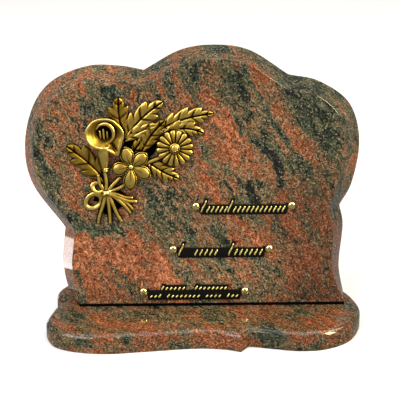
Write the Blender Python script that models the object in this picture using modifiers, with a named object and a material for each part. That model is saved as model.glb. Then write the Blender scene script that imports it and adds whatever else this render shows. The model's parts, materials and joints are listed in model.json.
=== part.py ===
# Funeral plaque: a three-lobed granite slab leaning back on a lobed granite base.
# On its face are one cast brass bouquet and three inscription bars, held by round-headed nails.
# Metres, +Z up. The front faces -Y. The origin is under the middle of the plaque's box.

import math

import bmesh
import bpy
from mathutils import Matrix, Vector

# Slab
SLAB_WIDTH = 0.3515
SLAB_HEIGHT = 0.2717
SLAB_THICKNESS = 0.030
SLAB_LEAN = math.radians(9.0)
EDGE_SPLAY = 0.0125
SLAB_ARRIS = 0.0009

# Base
BASE_WIDTH = 0.327
BASE_DEPTH = 0.134
BASE_HEIGHT = 0.020
BASE_ROUNDING = 0.0075
BASE_ARRIS = 0.0007
SLAB_SETBACK = 0.0686
SLAB_OFFSET = -0.011

# Bouquet, one casting. Its parts are written in millimetres on a bouquet of the drawn height and relief.
BOUQUET_HEIGHT = 0.134
BOUQUET_RELIEF = 0.016
DRAWN_HEIGHT = 134.0
DRAWN_RELIEF = 16.0

# Inscription bars: a dark strip, raised strokes and an eyelet at both ends
BAR_THICKNESS = 0.0014
STRIP_HEIGHT = 0.0105
STRIP_DROP = -0.0035
STRIP_CORNER = 0.0020
STROKE_RELIEF = 0.0009
STROKE_WIDTH = 0.0018
STROKE_SLANT = math.radians(22.0)
BACKING_MARGIN = 0.0014
BACKING_THICKNESS = 0.0012
TALL_STROKE = 0.0146
SHORT_STROKE = 0.0084
SMALL_STROKE = 0.0062
STROKE_FOOT = -0.0074
UPPER_ROW_FOOT = 0.0010
UPPER_ROW_INSET = 0.0120
EYELET_RADIUS = 0.0032
EYELET_THICKNESS = 0.0010
UPPER_BAR_LENGTH = 0.0994
MIDDLE_BAR_LENGTH = 0.1004
LOWER_BAR_LENGTH = 0.1063

# Nails
NAIL_HEAD_RADIUS = 0.0042
NAIL_HEAD_HEIGHT = 0.0030
NAIL_SHANK_RADIUS = 0.0013
NAIL_CLEARANCE = 0.0004

# Touching pieces keep this gap.
GAP = 0.0003

# Places on the slab's face, as shares of its width from the middle and of its height
BOUQUET_AT = (-0.2550, 0.4490)
UPPER_BAR_AT = (0.1480, 0.3940)
MIDDLE_BAR_AT = (0.0815, 0.2252)
LOWER_BAR_AT = (0.0011, 0.0578)

# How finely outlines are cut
OUTLINE_STEP = 0.0085
ROUNDING_STEPS = 4

# Points closer than this are one, and faces that bend less than this are flat.
WELD = 1e-6
FLATNESS = math.radians(0.05)

# The slab's back outline runs counter-clockwise from its right foot to its left foot. Each stretch is a
# smooth curve between two corners. A point is its shares of the slab's width, from the middle, and of
# its height, and then its share of the edge splay.
SLAB_STRETCHES = [
    [(0.460, 0.020, 0.20), (0.447, 0.100, 0.65), (0.4455, 0.160, 0.95), (0.455, 0.294, 1.15), (0.444, 0.371, 1.25)],
    [(0.444, 0.371, 1.25), (0.480, 0.461, 1.60), (0.500, 0.626, 1.60), (0.4675, 0.7725, 1.35),
     (0.377, 0.858, 1.00), (0.284, 0.8855, 0.95)],
    [(0.284, 0.8855, 0.95), (0.170, 0.978, 0.95), (0.067, 1.000, 0.95), (-0.0357, 0.981, 0.95),
     (-0.143, 0.906, 0.95)],
    [(-0.143, 0.906, 0.95), (-0.212, 0.922, 0.95), (-0.307, 0.922, 0.95), (-0.411, 0.868, 1.00),
     (-0.472, 0.770, 1.00), (-0.500, 0.616, 1.00), (-0.4795, 0.462, 1.00), (-0.386, 0.290, 1.00)],
    [(-0.386, 0.290, 1.00), (-0.392, 0.228, 1.00), (-0.396, 0.165, 1.00), (-0.389, 0.088, 1.00),
     (-0.3755, 0.020, 1.00)],
]

# The base's outline runs counter-clockwise from its left corner. A point is its shares of the base's
# width and depth, from the middle.
BASE_STRETCHES = [
    [(-0.4555, 0.150), (-0.476, 0.062), (-0.496, -0.118), (-0.500, -0.216), (-0.477, -0.357), (-0.4357, -0.437),
     (-0.3648, -0.488), (-0.2877, -0.500), (-0.203, -0.477), (-0.0327, -0.429), (0.0603, -0.449), (0.1092, -0.492)],
    [(0.1092, -0.492), (0.122, -0.449), (0.1346, -0.402)],
    [(0.1346, -0.402), (0.2159, -0.449), (0.2924, -0.485), (0.3707, -0.465), (0.4376, -0.371), (0.4761, -0.240),
     (0.500, -0.055), (0.496, 0.098), (0.4713, 0.272), (0.426, 0.400)],
    [(0.426, 0.400), (0.360, 0.470), (0.240, 0.500), (0.090, 0.478), (-0.050, 0.470), (-0.200, 0.492),
     (-0.330, 0.500), (-0.432, 0.478), (-0.472, 0.376), (-0.480, 0.250), (-0.4555, 0.150)],
]

# The bouquet, drawn in millimetres from the knot of its bow.
# A leaf: start, tip, half width, lobes on a side, bend
LEAVES = [
    ((19.0, 57.0), (14.0, 99.5), 12.0, 3, 2.0),
    ((20.0, 57.0), (59.5, 95.0), 12.0, 3, 3.0),
    ((19.0, 55.0), (53.5, 71.5), 7.5, 2, 1.5),
    ((55.0, 66.0), (111.3, 82.5), 10.5, 4, 3.0),
    ((60.0, 62.0), (101.5, 62.0), 9.0, 3, 5.0),
    ((37.0, 44.0), (61.0, 75.5), 9.5, 3, 2.0),
    ((26.0, 40.0), (41.6, 61.2), 6.0, 2, 0.0),
    ((42.0, 34.0), (75.5, 15.0), 9.5, 3, -2.0),
    ((0.0, 13.0), (-40.0, 50.0), 13.0, 3, -2.0),
]
FLOWER_AT = (25.8, 28.2)
FLOWER_RADIUS = 23.0
FLOWER_MIDDLE = 4.0
FLOWER_PETALS = 5
FLOWER_TURN = math.radians(38.0)
FLOWER_NOTCH = 0.62
FLOWER_LIFT = 5.4
FLOWER_MIDDLE_HEIGHT = 2.2
FLOWER_MIDDLE_LIFT = 6.2
DAISY_AT = (70.8, 46.8)
DAISY_RADIUS = 18.9
DAISY_MIDDLE = 5.6
DAISY_PETALS = 16
DAISY_NOTCH = 0.20
DAISY_LIFT = 4.4
DAISY_MIDDLE_HEIGHT = 2.4
DAISY_MIDDLE_LIFT = 5.2
# Sections of a flower's ring of petals, from its sunk foot over its rim to its middle: the share of the
# radius, the rise (none at the foot) and the share of the notches
FLOWER_SECTIONS = [(1.0, None, 1.0), (1.0, 1.6, 1.0), (0.88, 2.4, 0.94), (0.62, 1.1, 0.80), (0.24, 0.6, 0.0)]
DAISY_SECTIONS = [(1.0, None, 1.0), (1.0, 0.4, 1.0), (0.80, 1.7, 0.5), (0.40, 1.3, 0.0)]
KNOT_RADIUS = 4.6
KNOT_HEIGHT = 3.2
KNOT_LIFT = 2.6
LEAF_LIFT = 1.6
LEAF_CROWN = 1.7
LEAF_MIN_HALF = 0.7
# Each stem lies a little higher than the one before.
STEM_RADIUS = 1.9
STEM_LIFT = 1.1
STEM_STEP = 0.06
# A stem: start, end, bow
STEMS = [
    ((0.0, 2.0), (-8.4, -31.5), 1.5),
    ((1.0, 2.0), (3.5, -31.5), -1.0),
    ((2.0, 2.0), (15.5, -30.0), -1.5),
    ((3.0, 1.0), (25.0, -21.0), -2.0),
    ((2.0, 0.0), (31.5, -8.5), 2.0),
    ((0.0, 4.0), (-1.0, 29.0), 1.0),
    ((2.0, 3.0), (14.0, 16.0), -1.0),
    ((4.0, 2.0), (44.0, 33.0), -4.0),
    ((40.0, 31.0), (62.0, 38.0), -1.0),
    ((-2.0, 3.0), (-8.0, 20.0), 1.0),
]
LOOP_NARROWING = 0.72
LOOP_BAND = 2.2
LOOP_LIFT = 3.4
# A bow's loop: middle, radius, turn
BOW_LOOPS = [
    ((-9.0, 6.5), 5.6, math.radians(150)),
    ((-12.5, -7.5), 9.2, math.radians(35)),
]
# The arum lily's sections, from its tube over its rim into its throat: middle x, y and z, half width,
# half length, tilt in degrees, and the share of the rim's point
ARUM_RINGS = [
    (-0.6, 25.0, 2.6, 3.2, 2.8, 0, 0.0),
    (-1.0, 34.0, 4.0, 5.0, 4.2, 10, 0.0),
    (-1.2, 42.0, 5.2, 8.5, 6.5, 28, 0.0),
    (-1.2, 50.0, 6.0, 13.0, 10.5, 46, 0.2),
    (-0.8, 57.0, 7.4, 17.3, 15.0, 62, 0.6),
    (-0.4, 60.5, 9.4, 19.8, 18.0, 72, 1.0),
    (-0.6, 61.0, 10.8, 18.6, 16.8, 74, 0.95),
    (-1.0, 61.5, 10.4, 13.5, 12.5, 74, 0.5),
    (-1.2, 61.5, 8.6, 9.2, 9.4, 72, 0.0),
    (-1.2, 59.5, 6.0, 6.2, 6.4, 64, 0.0),
]
ARUM_SIDES = 20
ARUM_POINT = 0.40
ARUM_POINT_ANGLE = math.radians(60)
# The casting's parts reach this far below its back plane, where they are cut off flat.
SUNK = -0.8

# Strokes of the inscription rows: T is tall, s is short and a dot leaves a gap.
UPPER_ROW = "TsssssTssssssssssss"
MIDDLE_ROW = "T..sssss..Tssssss"
LOWER_ROWS = ("Tsssss..Tsssssss", "ssT.Tsssssss.ssss.Tss")


def clear_scene():
    for item in list(bpy.data.objects):
        bpy.data.objects.remove(item, do_unlink=True)


def new_collection(name):
    group = bpy.data.collections.new(name)
    bpy.context.scene.collection.children.link(group)
    return group


def make_material(name, colour, roughness, metallic=0.0):
    made = bpy.data.materials.new(name)
    made.use_nodes = True
    shader = made.node_tree.nodes["Principled BSDF"]
    shader.inputs["Base Color"].default_value = (*colour, 1.0)
    shader.inputs["Roughness"].default_value = roughness
    shader.inputs["Metallic"].default_value = metallic
    return made


def add_empty(name, group, parent=None, location=(0, 0, 0), rotation=(0, 0, 0)):
    made = bpy.data.objects.new(name, None)
    made.location = location
    made.rotation_euler = rotation
    made.parent = parent
    group.objects.link(made)
    return made


def add_object(name, mesh, group, parent, finish, location=(0, 0, 0)):
    made = bpy.data.objects.new(name, mesh)
    made.location = location
    made.parent = parent
    mesh.materials.clear()
    mesh.materials.append(finish)
    group.objects.link(made)
    return made


def mesh_from(name, shape):
    """Turns a bmesh into a mesh whose faces are flat and point out, shaded smooth over its gentle edges."""
    bmesh.ops.connect_verts_nonplanar(shape, angle_limit=FLATNESS, faces=shape.faces)
    bmesh.ops.recalc_face_normals(shape, faces=shape.faces)
    made = bpy.data.meshes.new(name)
    shape.to_mesh(made)
    shape.free()
    made.shade_smooth()
    made.set_sharp_from_angle(angle=math.radians(35))
    return made


def loft(sections, ring=False):
    """One closed body through sections of equally many points. A ring joins its last section to its first."""
    shape = bmesh.new()
    rows = [[shape.verts.new(point) for point in section] for section in sections]
    count = len(rows[0])
    pairs = list(zip(rows, rows[1:]))
    if ring:
        pairs.append((rows[-1], rows[0]))
    else:
        shape.faces.new(rows[0])
        shape.faces.new(list(reversed(rows[-1])))
    for low, high in pairs:
        for k in range(count):
            following = (k + 1) % count
            shape.faces.new((low[k], low[following], high[following], high[k]))
    return shape


# Outlines

def curve_point(points, share):
    """The point at a share from 0 to 1 along a smooth curve through the points."""
    spans = len(points) - 1
    place = share * spans
    i = min(int(place), spans - 1)
    t = place - i
    p1 = points[i]
    p2 = points[i + 1]
    p0 = points[i - 1] if i > 0 else p1 * 2 - p2
    p3 = points[i + 2] if i + 2 <= spans else p2 * 2 - p1
    square = (p0 * 2 - p1 * 5 + p2 * 4 - p3) * t * t
    cube = (p1 * 3 - p0 - p2 * 3 + p3) * t ** 3
    return (p1 * 2 + (p2 - p0) * t + square + cube) * 0.5


def stretch_samples(points, step):
    """Points about a step apart along a stretch, with both of its corners."""
    fine = [curve_point(points, k / 200) for k in range(201)]
    length = sum((b.xy - a.xy).length for a, b in zip(fine, fine[1:]))
    count = max(2, round(length / step))
    return [curve_point(points, k / count) for k in range(count + 1)]


def side_normal(start, end):
    """The outward side of one step of a counter-clockwise outline."""
    along = (end.xy - start.xy).normalized()
    return Vector((along.y, -along.x))


def outline_with_offsets(stretches, closed):
    """Points of an outline, and the way that each one moves for one metre of offset outward."""
    points = []
    for stretch in stretches:
        samples = stretch_samples(stretch, OUTLINE_STEP)
        points += samples[:-1]
    if not closed:
        points.append(samples[-1])
    sides = [side_normal(a, b) for a, b in zip(points, points[1:] + points[:1])]
    offsets = []
    for k, side in enumerate(sides):
        before = sides[k - 1]
        if not closed and k == 0:
            before = side
        if not closed and k == len(points) - 1:
            side = before
        offsets.append((before + side) / (1 + before.dot(side)))
    return points, offsets


# Granite pieces

def slab_back_outline():
    scaled = [[Vector((x * SLAB_WIDTH, v * SLAB_HEIGHT, splay)) for x, v, splay in stretch]
              for stretch in SLAB_STRETCHES]
    back_foot = SLAB_THICKNESS * math.tan(SLAB_LEAN)
    scaled[0][0].y = back_foot
    scaled[-1][-1].y = back_foot
    return outline_with_offsets(scaled, closed=False)


def slab_section(points, offsets, depth, inset):
    """The slab's outline at a depth behind its face, drawn in by the splay. Its foot is level."""
    foot = depth * math.tan(SLAB_LEAN)
    splay = EDGE_SPLAY * (1 - depth / SLAB_THICKNESS)
    section = []
    for point, offset in zip(points, offsets):
        inward = splay * point.z + inset
        section.append((point.x - offset.x * inward, depth, max(point.y - offset.y * inward, foot)))
    for end, side in ((0, 1), (-1, -1)):
        inward = splay * points[end].z + inset
        section[end] = (points[end].x - side * inward, depth, foot)
    return section


def make_slab(group, frame, finish):
    points, offsets = slab_back_outline()
    insets = (
        (0.0, SLAB_ARRIS),
        (SLAB_ARRIS, 0.0),
        (SLAB_THICKNESS - SLAB_ARRIS, 0.0),
        (SLAB_THICKNESS, SLAB_ARRIS),
    )
    sections = [slab_section(points, offsets, depth, inset) for depth, inset in insets]
    add_object("slab", mesh_from("slab", loft(sections)), group, frame, finish)


def base_outline():
    scaled = [[Vector((x * BASE_WIDTH, y * BASE_DEPTH, 0)) for x, y in stretch] for stretch in BASE_STRETCHES]
    return outline_with_offsets(scaled, closed=True)


def base_profile():
    """Pairs of inset and height, from the underside's arris over the rounding to the top."""
    profile = [(BASE_ARRIS, 0.0), (0.0, BASE_ARRIS)]
    for k in range(ROUNDING_STEPS + 1):
        turn = math.radians(90) * k / ROUNDING_STEPS
        inset = BASE_ROUNDING * (1 - math.cos(turn))
        profile.append((inset, BASE_HEIGHT - BASE_ROUNDING * (1 - math.sin(turn))))
    return profile


def make_base(group, frame, finish):
    points, offsets = base_outline()
    sections = []
    for inset, height in base_profile():
        sections.append([(p.x - o.x * inset, p.y - o.y * inset, height) for p, o in zip(points, offsets)])
    add_object("base", mesh_from("base", loft(sections)), group, frame, finish)


def box_middle():
    """The middle of the plaque's box, seen from above, from the middle of its base."""
    base_points, _ = base_outline()
    slab_points, _ = slab_back_outline()
    back_y = SLAB_THICKNESS * math.cos(SLAB_LEAN)
    xs = [p.x for p in base_points] + [p.x + SLAB_OFFSET for p in slab_points]
    ys = [p.y for p in base_points]
    ys += [SLAB_SETBACK - BASE_DEPTH / 2 + back_y + (p.y - SLAB_ARRIS) * math.sin(SLAB_LEAN) for p in slab_points]
    return (min(xs) + max(xs)) / 2, (min(ys) + max(ys)) / 2


# Joining castings

def mesh_from_curve(name, curve):
    """A closed mesh of a curve's evaluated shape, with its caps welded on."""
    holder = bpy.data.objects.new(name, curve)
    bpy.context.scene.collection.objects.link(holder)
    evaluated = holder.evaluated_get(bpy.context.evaluated_depsgraph_get())
    made = bpy.data.meshes.new_from_object(evaluated)
    bpy.data.objects.remove(holder)
    shape = bmesh.new()
    shape.from_mesh(made)
    bmesh.ops.remove_doubles(shape, verts=shape.verts, dist=WELD)
    bmesh.ops.dissolve_limit(shape, angle_limit=FLATNESS, verts=shape.verts, edges=shape.edges)
    return mesh_from(name, shape)


def add_spline(curve, points, closed):
    spline = curve.splines.new("POLY")
    spline.points.add(len(points) - 1)
    for knot, point in zip(spline.points, points):
        knot.co = (*point, 1.0)
    spline.use_cyclic_u = closed


def tube_mesh(name, route, radius):
    """A round rod through the route's points."""
    curve = bpy.data.curves.new(name, "CURVE")
    curve.dimensions = "3D"
    curve.bevel_depth = radius
    curve.bevel_resolution = 1
    curve.use_fill_caps = True
    add_spline(curve, route, closed=False)
    return mesh_from_curve(name, curve)


def prism(name, outline, low, high):
    """A flat piece with the given outline between two heights."""
    curve = bpy.data.curves.new(name, "CURVE")
    curve.dimensions = "2D"
    curve.fill_mode = "BOTH"
    curve.extrude = (high - low) / 2
    add_spline(curve, [(x, y, 0) for x, y in outline], closed=True)
    made = mesh_from_curve(name, curve)
    made.transform(Matrix.Translation((0, 0, (low + high) / 2)))
    return made


def boolean_step(body, operation, meshes):
    """Joins meshes to a body, or cuts them from it, and returns the helpers that hold them."""
    group = new_collection(f"{body.name}_{operation.lower()}")
    for mesh in meshes:
        group.objects.link(bpy.data.objects.new(f"{body.name}_helper", mesh))
    step = body.modifiers.new(operation.lower(), "BOOLEAN")
    step.operation = operation
    step.operand_type = "COLLECTION"
    step.collection = group
    return group


def joined(name, meshes, cutter_meshes):
    """One body of overlapping meshes, less the cutters, cut off flat at its back plane."""
    reach = SLAB_WIDTH
    below = block("below", (-reach, -reach, -reach), (reach, reach, 0))
    body = bpy.data.objects.new(name, meshes[0])
    bpy.context.scene.collection.objects.link(body)
    groups = [boolean_step(body, "UNION", meshes[1:]), boolean_step(body, "DIFFERENCE", cutter_meshes + [below])]
    evaluated = body.evaluated_get(bpy.context.evaluated_depsgraph_get())
    made = bpy.data.meshes.new_from_object(evaluated)
    for group in groups:
        for helper in list(group.objects):
            bpy.data.objects.remove(helper)
        bpy.data.collections.remove(group)
    bpy.data.objects.remove(body)
    made.shade_smooth()
    made.set_sharp_from_angle(angle=math.radians(35))
    return made


def block(name, corner, opposite):
    """A box between two corners."""
    shape = bmesh.new()
    bmesh.ops.create_cube(shape, size=1.0)
    low = Vector(corner)
    high = Vector(opposite)
    bmesh.ops.scale(shape, vec=high - low, verts=shape.verts)
    bmesh.ops.translate(shape, vec=(low + high) / 2, verts=shape.verts)
    return mesh_from(name, shape)


# Bouquet. These take millimetres of the drawn bouquet and return metres.

def relief_point(x, y, z):
    flat = BOUQUET_HEIGHT / DRAWN_HEIGHT
    return Vector((x * flat, y * flat, z * BOUQUET_RELIEF / DRAWN_RELIEF))


def sprig_section(centre, along, across, half, lift, crown, sweep):
    """Five top points and two sunk points across a leaf or a petal."""
    left = centre + across * half + along * sweep
    right = centre - across * half + along * sweep
    mid_left = centre + across * half * 0.5 + along * sweep * 0.3
    mid_right = centre - across * half * 0.5 + along * sweep * 0.3
    return [
        relief_point(*left, lift),
        relief_point(*mid_left, lift + crown),
        relief_point(*centre, lift + crown * 0.45),
        relief_point(*mid_right, lift + crown),
        relief_point(*right, lift),
        relief_point(*right, SUNK),
        relief_point(*left, SUNK),
    ]


def leaf_mesh(name, start, tip, half_width, lobes, bend):
    """A feathery leaf from its start to its tip, with pointed lobes swept towards the tip."""
    start = Vector(start)
    run = Vector(tip) - start
    across_run = Vector((-run.y, run.x)).normalized()
    stations = [(0.0, False)]
    for k in range(2 * lobes + 1):
        stations.append(((k + 0.6) / (2 * lobes + 1.2), k % 2 == 1))
    stations.append((1.0, False))
    sections = []
    for t, is_lobe in stations:
        centre = start + run * t + across_run * bend * math.sin(math.pi * t)
        heading = (run + across_run * bend * math.pi * math.cos(math.pi * t)).normalized()
        across = Vector((-heading.y, heading.x))
        swell = math.sin(math.pi * (0.08 + 0.87 * t) ** 0.85) ** 0.75
        half = half_width * swell * (1.0 if is_lobe else 0.58)
        sweep = half_width * 0.42 * swell if is_lobe else 0.0
        half = max(half, LEAF_MIN_HALF)
        sections.append(sprig_section(centre, heading, across, half, LEAF_LIFT, LEAF_CROWN * swell, sweep))
    return mesh_from(name, loft(sections))


def bead_mesh(name, centre, radius, height, lift):
    """A round bead, higher or lower than it is wide, whose middle lies at the lift."""
    shape = bmesh.new()
    bmesh.ops.create_uvsphere(shape, u_segments=10, v_segments=7, radius=1.0)
    bmesh.ops.scale(shape, vec=relief_point(radius, radius, height), verts=shape.verts)
    bmesh.ops.translate(shape, vec=relief_point(*centre, lift), verts=shape.verts)
    return mesh_from(name, shape)


def blossom_mesh(name, centre, radius, petals, per_petal, notch, lift, rings, turn=0.0):
    """A flower's ring of petals as one body, notched and dipping between its petals."""
    sections = []
    for share, rise, notch_share in rings:
        section = []
        for j in range(petals * per_petal):
            angle = math.tau * j / (petals * per_petal)
            swell = abs(math.cos(angle * petals / 2)) ** 0.6
            reach = radius * share * (1 - notch * notch_share * (1 - swell))
            z = SUNK if rise is None else lift + rise * (0.45 + 0.55 * swell)
            section.append(relief_point(centre[0] + reach * math.cos(angle + turn),
                                        centre[1] + reach * math.sin(angle + turn), z))
        sections.append(section)
    return mesh_from(name, loft(sections))


def arum_mesh(name):
    """An arum lily: a tube that turns towards the front and opens into a rim with one point."""
    sections = []
    for x, y, z, across, along, tilt, point in ARUM_RINGS:
        section = []
        for j in range(ARUM_SIDES):
            angle = math.tau * j / ARUM_SIDES
            reach = 1 + ARUM_POINT * point * max(0.0, math.cos(angle - ARUM_POINT_ANGLE)) ** 6
            down = along * reach * math.sin(angle)
            section.append(relief_point(x + across * reach * math.cos(angle),
                                        y - down * math.sin(math.radians(tilt)),
                                        z + down * math.cos(math.radians(tilt))))
        sections.append(section)
    return mesh_from(name, loft(sections))


def stem_mesh(name, start, end, bow, lift):
    """A stem with a slight bow, lying on the back plane."""
    start = Vector(start)
    run = Vector(end) - start
    side = Vector((-run.y, run.x)).normalized()
    route = []
    for k in range(4):
        flat = start + run * (k / 3) + side * bow * math.sin(math.pi * k / 3)
        route.append(relief_point(flat.x, flat.y, lift))
    return tube_mesh(name, route, STEM_RADIUS * BOUQUET_HEIGHT / DRAWN_HEIGHT)


def loop_mesh(name, centre, radius, turn):
    """One loop of the bow, a closed band that stands on the back plane."""
    sections = []
    for j in range(14):
        angle = math.tau * j / 14
        flat = Vector((math.cos(angle), math.sin(angle) * LOOP_NARROWING))
        flat.rotate(Matrix.Rotation(turn, 2))
        outer = Vector(centre) + flat * (radius + LOOP_BAND / 2)
        inner = Vector(centre) + flat * (radius - LOOP_BAND / 2)
        sections.append([relief_point(*outer, SUNK), relief_point(*outer, LOOP_LIFT),
                         relief_point(*inner, LOOP_LIFT), relief_point(*inner, SUNK)])
    return mesh_from(name, loft(sections, ring=True))


def bouquet_meshes():
    parts = [bead_mesh("knot", (0.0, 0.0), KNOT_RADIUS, KNOT_HEIGHT, KNOT_LIFT)]
    for centre, radius, turn in BOW_LOOPS:
        parts.append(loop_mesh("loop", centre, radius, turn))
    for k, (start, end, bow) in enumerate(STEMS):
        parts.append(stem_mesh("stem", start, end, bow, STEM_LIFT + STEM_STEP * k))
    parts.append(arum_mesh("arum"))
    for start, tip, half_width, lobes, bend in LEAVES:
        parts.append(leaf_mesh("leaf", start, tip, half_width, lobes, bend))
    parts.append(blossom_mesh("flower", FLOWER_AT, FLOWER_RADIUS, FLOWER_PETALS, 8, FLOWER_NOTCH, FLOWER_LIFT,
                              FLOWER_SECTIONS, FLOWER_TURN))
    parts.append(bead_mesh("flower_middle", FLOWER_AT, FLOWER_MIDDLE, FLOWER_MIDDLE_HEIGHT, FLOWER_MIDDLE_LIFT))
    parts.append(blossom_mesh("daisy", DAISY_AT, DAISY_RADIUS, DAISY_PETALS, 4, DAISY_NOTCH, DAISY_LIFT,
                              DAISY_SECTIONS))
    parts.append(bead_mesh("daisy_middle", DAISY_AT, DAISY_MIDDLE, DAISY_MIDDLE_HEIGHT, DAISY_MIDDLE_LIFT))
    return parts


def make_bouquet(group, frame, finish):
    casting = joined("bouquet", bouquet_meshes(), [])
    place = (BOUQUET_AT[0] * SLAB_WIDTH, BOUQUET_AT[1] * SLAB_HEIGHT, 0)
    add_object("bouquet", casting, group, frame, finish, place)


# Inscription bars

def round_outline(centre_x, radius, sides=10):
    angles = [math.tau * k / sides for k in range(sides)]
    return [(centre_x + radius * math.cos(a), radius * math.sin(a)) for a in angles]


def strip_outline(length, corner_steps=2):
    """The strip's rectangle with round corners, between its nails' heads."""
    half_length = strip_length(length) / 2 - STRIP_CORNER
    half_height = STRIP_HEIGHT / 2 - STRIP_CORNER
    outline = []
    for quarter, (side_x, side_y) in enumerate(((1, 1), (-1, 1), (-1, -1), (1, -1))):
        for k in range(corner_steps + 1):
            turn = math.radians(90) * (quarter + k / corner_steps)
            outline.append((side_x * half_length + STRIP_CORNER * math.cos(turn),
                            STRIP_DROP + side_y * half_height + STRIP_CORNER * math.sin(turn)))
    return outline


def eyelet_outline(length, side):
    """An eyelet: a half round about its nail, and straight sides that run into the strip."""
    inner = side * (strip_length(length) / 2 - STRIP_CORNER)
    outline = [(inner, side * EYELET_RADIUS), (inner, -side * EYELET_RADIUS)]
    for k in range(9):
        turn = math.radians(180) * k / 8 - math.radians(90)
        outline.append((side * (length / 2 + EYELET_RADIUS * math.cos(turn)), side * EYELET_RADIUS * math.sin(turn)))
    return outline


def slanted_point(x, foot, y):
    """The point at a height y on a slanted line that stands at x on its foot."""
    return (x + (y - foot) * math.tan(STROKE_SLANT), y)


def stroke_outline(x, foot, height):
    half = STROKE_WIDTH / 2
    return [slanted_point(x - half, foot, foot), slanted_point(x + half, foot, foot),
            slanted_point(x + half, foot, foot + height), slanted_point(x - half, foot, foot + height)]


def backing_outline(runs):
    """The backing of neighbouring runs, from inside the strip to a margin above each run."""
    foot = runs[0][1]
    edge = STROKE_WIDTH / 2 + BACKING_MARGIN
    marks = [runs[0][0][0] - edge]
    marks += [(left[0][-1] + right[0][0]) / 2 for left, right in zip(runs, runs[1:])]
    marks.append(runs[-1][0][-1] + edge)
    outline = [slanted_point(marks[0], foot, STRIP_DROP), slanted_point(marks[-1], foot, STRIP_DROP)]
    for k in reversed(range(len(runs))):
        top = foot + runs[k][2] + BACKING_MARGIN
        outline += [slanted_point(marks[k + 1], foot, top), slanted_point(marks[k], foot, top)]
    return outline


def row_runs(pattern, length, foot, tall, short):
    """The words of a row. Each is a list of runs of like strokes: their places, their foot and their height."""
    pitch = length / len(pattern)
    words = []
    before = "."
    for k, mark in enumerate(pattern):
        height = tall if mark == "T" else short
        x = pitch * (k + 0.5) - length / 2 - height * math.tan(STROKE_SLANT) / 2
        if mark != "." and before == ".":
            words.append([])
        if mark != "." and mark == before:
            words[-1][-1][0].append(x)
        elif mark != ".":
            words[-1].append(([x], foot, height))
        before = mark
    return words


def backed_groups(words):
    """Neighbouring runs that rise above the strip and so need a backing."""
    groups = []
    for word in words:
        group = []
        for places, foot, height in word:
            if foot + height > STRIP_DROP + STRIP_HEIGHT / 2:
                group.append((places, foot, height))
            elif group:
                groups.append(group)
                group = []
        if group:
            groups.append(group)
    return groups


def bar_mesh(name, length, words):
    """A bar: its strip with backings behind the strokes above it, the strokes, and an eyelet at both ends."""
    pieces = [prism(name, strip_outline(length), -BACKING_THICKNESS, BAR_THICKNESS)]
    for side in (-1, 1):
        pieces.append(prism(name, eyelet_outline(length, side), -BACKING_THICKNESS, EYELET_THICKNESS))
    for group in backed_groups(words):
        pieces.append(prism(name, backing_outline(group), -BACKING_THICKNESS, BACKING_THICKNESS))
    for word in words:
        for places, foot, height in word:
            for x in places:
                pieces.append(prism(name, stroke_outline(x, foot, height), BAR_THICKNESS / 2,
                                    BAR_THICKNESS + STROKE_RELIEF))
    hole = NAIL_SHANK_RADIUS + NAIL_CLEARANCE
    holes = [prism(name, round_outline(side * length / 2, hole), -2 * BAR_THICKNESS, 2 * BAR_THICKNESS)
             for side in (-1, 1)]
    return joined(name, pieces, holes)


def strip_length(length):
    """A bar's strip ends clear of its nails' heads."""
    return length - 2 * (NAIL_HEAD_RADIUS + NAIL_CLEARANCE)


def row_length(length):
    return strip_length(length) - 2 * BACKING_MARGIN


def lower_words():
    length = row_length(LOWER_BAR_LENGTH)
    first = row_runs(LOWER_ROWS[0], length - 2 * UPPER_ROW_INSET, UPPER_ROW_FOOT, SMALL_STROKE, 0.8 * SMALL_STROKE)
    second = row_runs(LOWER_ROWS[1], length, STROKE_FOOT, 0.95 * SMALL_STROKE, 0.75 * SMALL_STROKE)
    return first + second


def make_bars(group, frame, finish):
    """Makes the three bars and returns the places of their nails."""
    bars = (
        ("inscription_bar_upper", UPPER_BAR_AT, UPPER_BAR_LENGTH,
         row_runs(UPPER_ROW, row_length(UPPER_BAR_LENGTH), STROKE_FOOT, TALL_STROKE, SHORT_STROKE)),
        ("inscription_bar_middle", MIDDLE_BAR_AT, MIDDLE_BAR_LENGTH,
         row_runs(MIDDLE_ROW, row_length(MIDDLE_BAR_LENGTH), STROKE_FOOT, TALL_STROKE, SHORT_STROKE)),
        ("inscription_bar_lower", LOWER_BAR_AT, LOWER_BAR_LENGTH, lower_words()),
    )
    nail_places = []
    for name, (x_share, y_share), length, words in bars:
        x = x_share * SLAB_WIDTH
        y = y_share * SLAB_HEIGHT
        add_object(name, bar_mesh(name, length, words), group, frame, finish, (x, y, 0))
        nail_places.append((name.replace("inscription_bar", "nail") + "_left", (x - length / 2, y, 0)))
        nail_places.append((name.replace("inscription_bar", "nail") + "_right", (x + length / 2, y, 0)))
    return nail_places


# Nails

def nail_profile():
    """Radius and height from the top of the dome down to the end of the shank."""
    underside = EYELET_THICKNESS + GAP
    rim = underside + 0.15 * NAIL_HEAD_HEIGHT
    profile = []
    for k in range(4):
        turn = math.radians(90) * k / 3
        profile.append((NAIL_HEAD_RADIUS * math.sin(turn), rim + 0.85 * NAIL_HEAD_HEIGHT * math.cos(turn)))
    profile += [(NAIL_HEAD_RADIUS, underside), (NAIL_SHANK_RADIUS, underside), (NAIL_SHANK_RADIUS, 0.0), (0.0, 0.0)]
    return profile


def make_nail(name, place, group, frame, finish):
    """A round-headed nail, its profile turned about its own axis."""
    profile = nail_profile()
    line = bpy.data.meshes.new(name)
    line.from_pydata([(radius, 0, z) for radius, z in profile], [(k, k + 1) for k in range(len(profile) - 1)], [])
    nail = add_object(name, line, group, frame, finish, place)
    turned = nail.modifiers.new("turned", "SCREW")
    turned.steps = 12
    turned.render_steps = 12
    turned.use_merge_vertices = True
    turned.merge_threshold = 0.00001
    turned.use_smooth_shade = True


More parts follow.
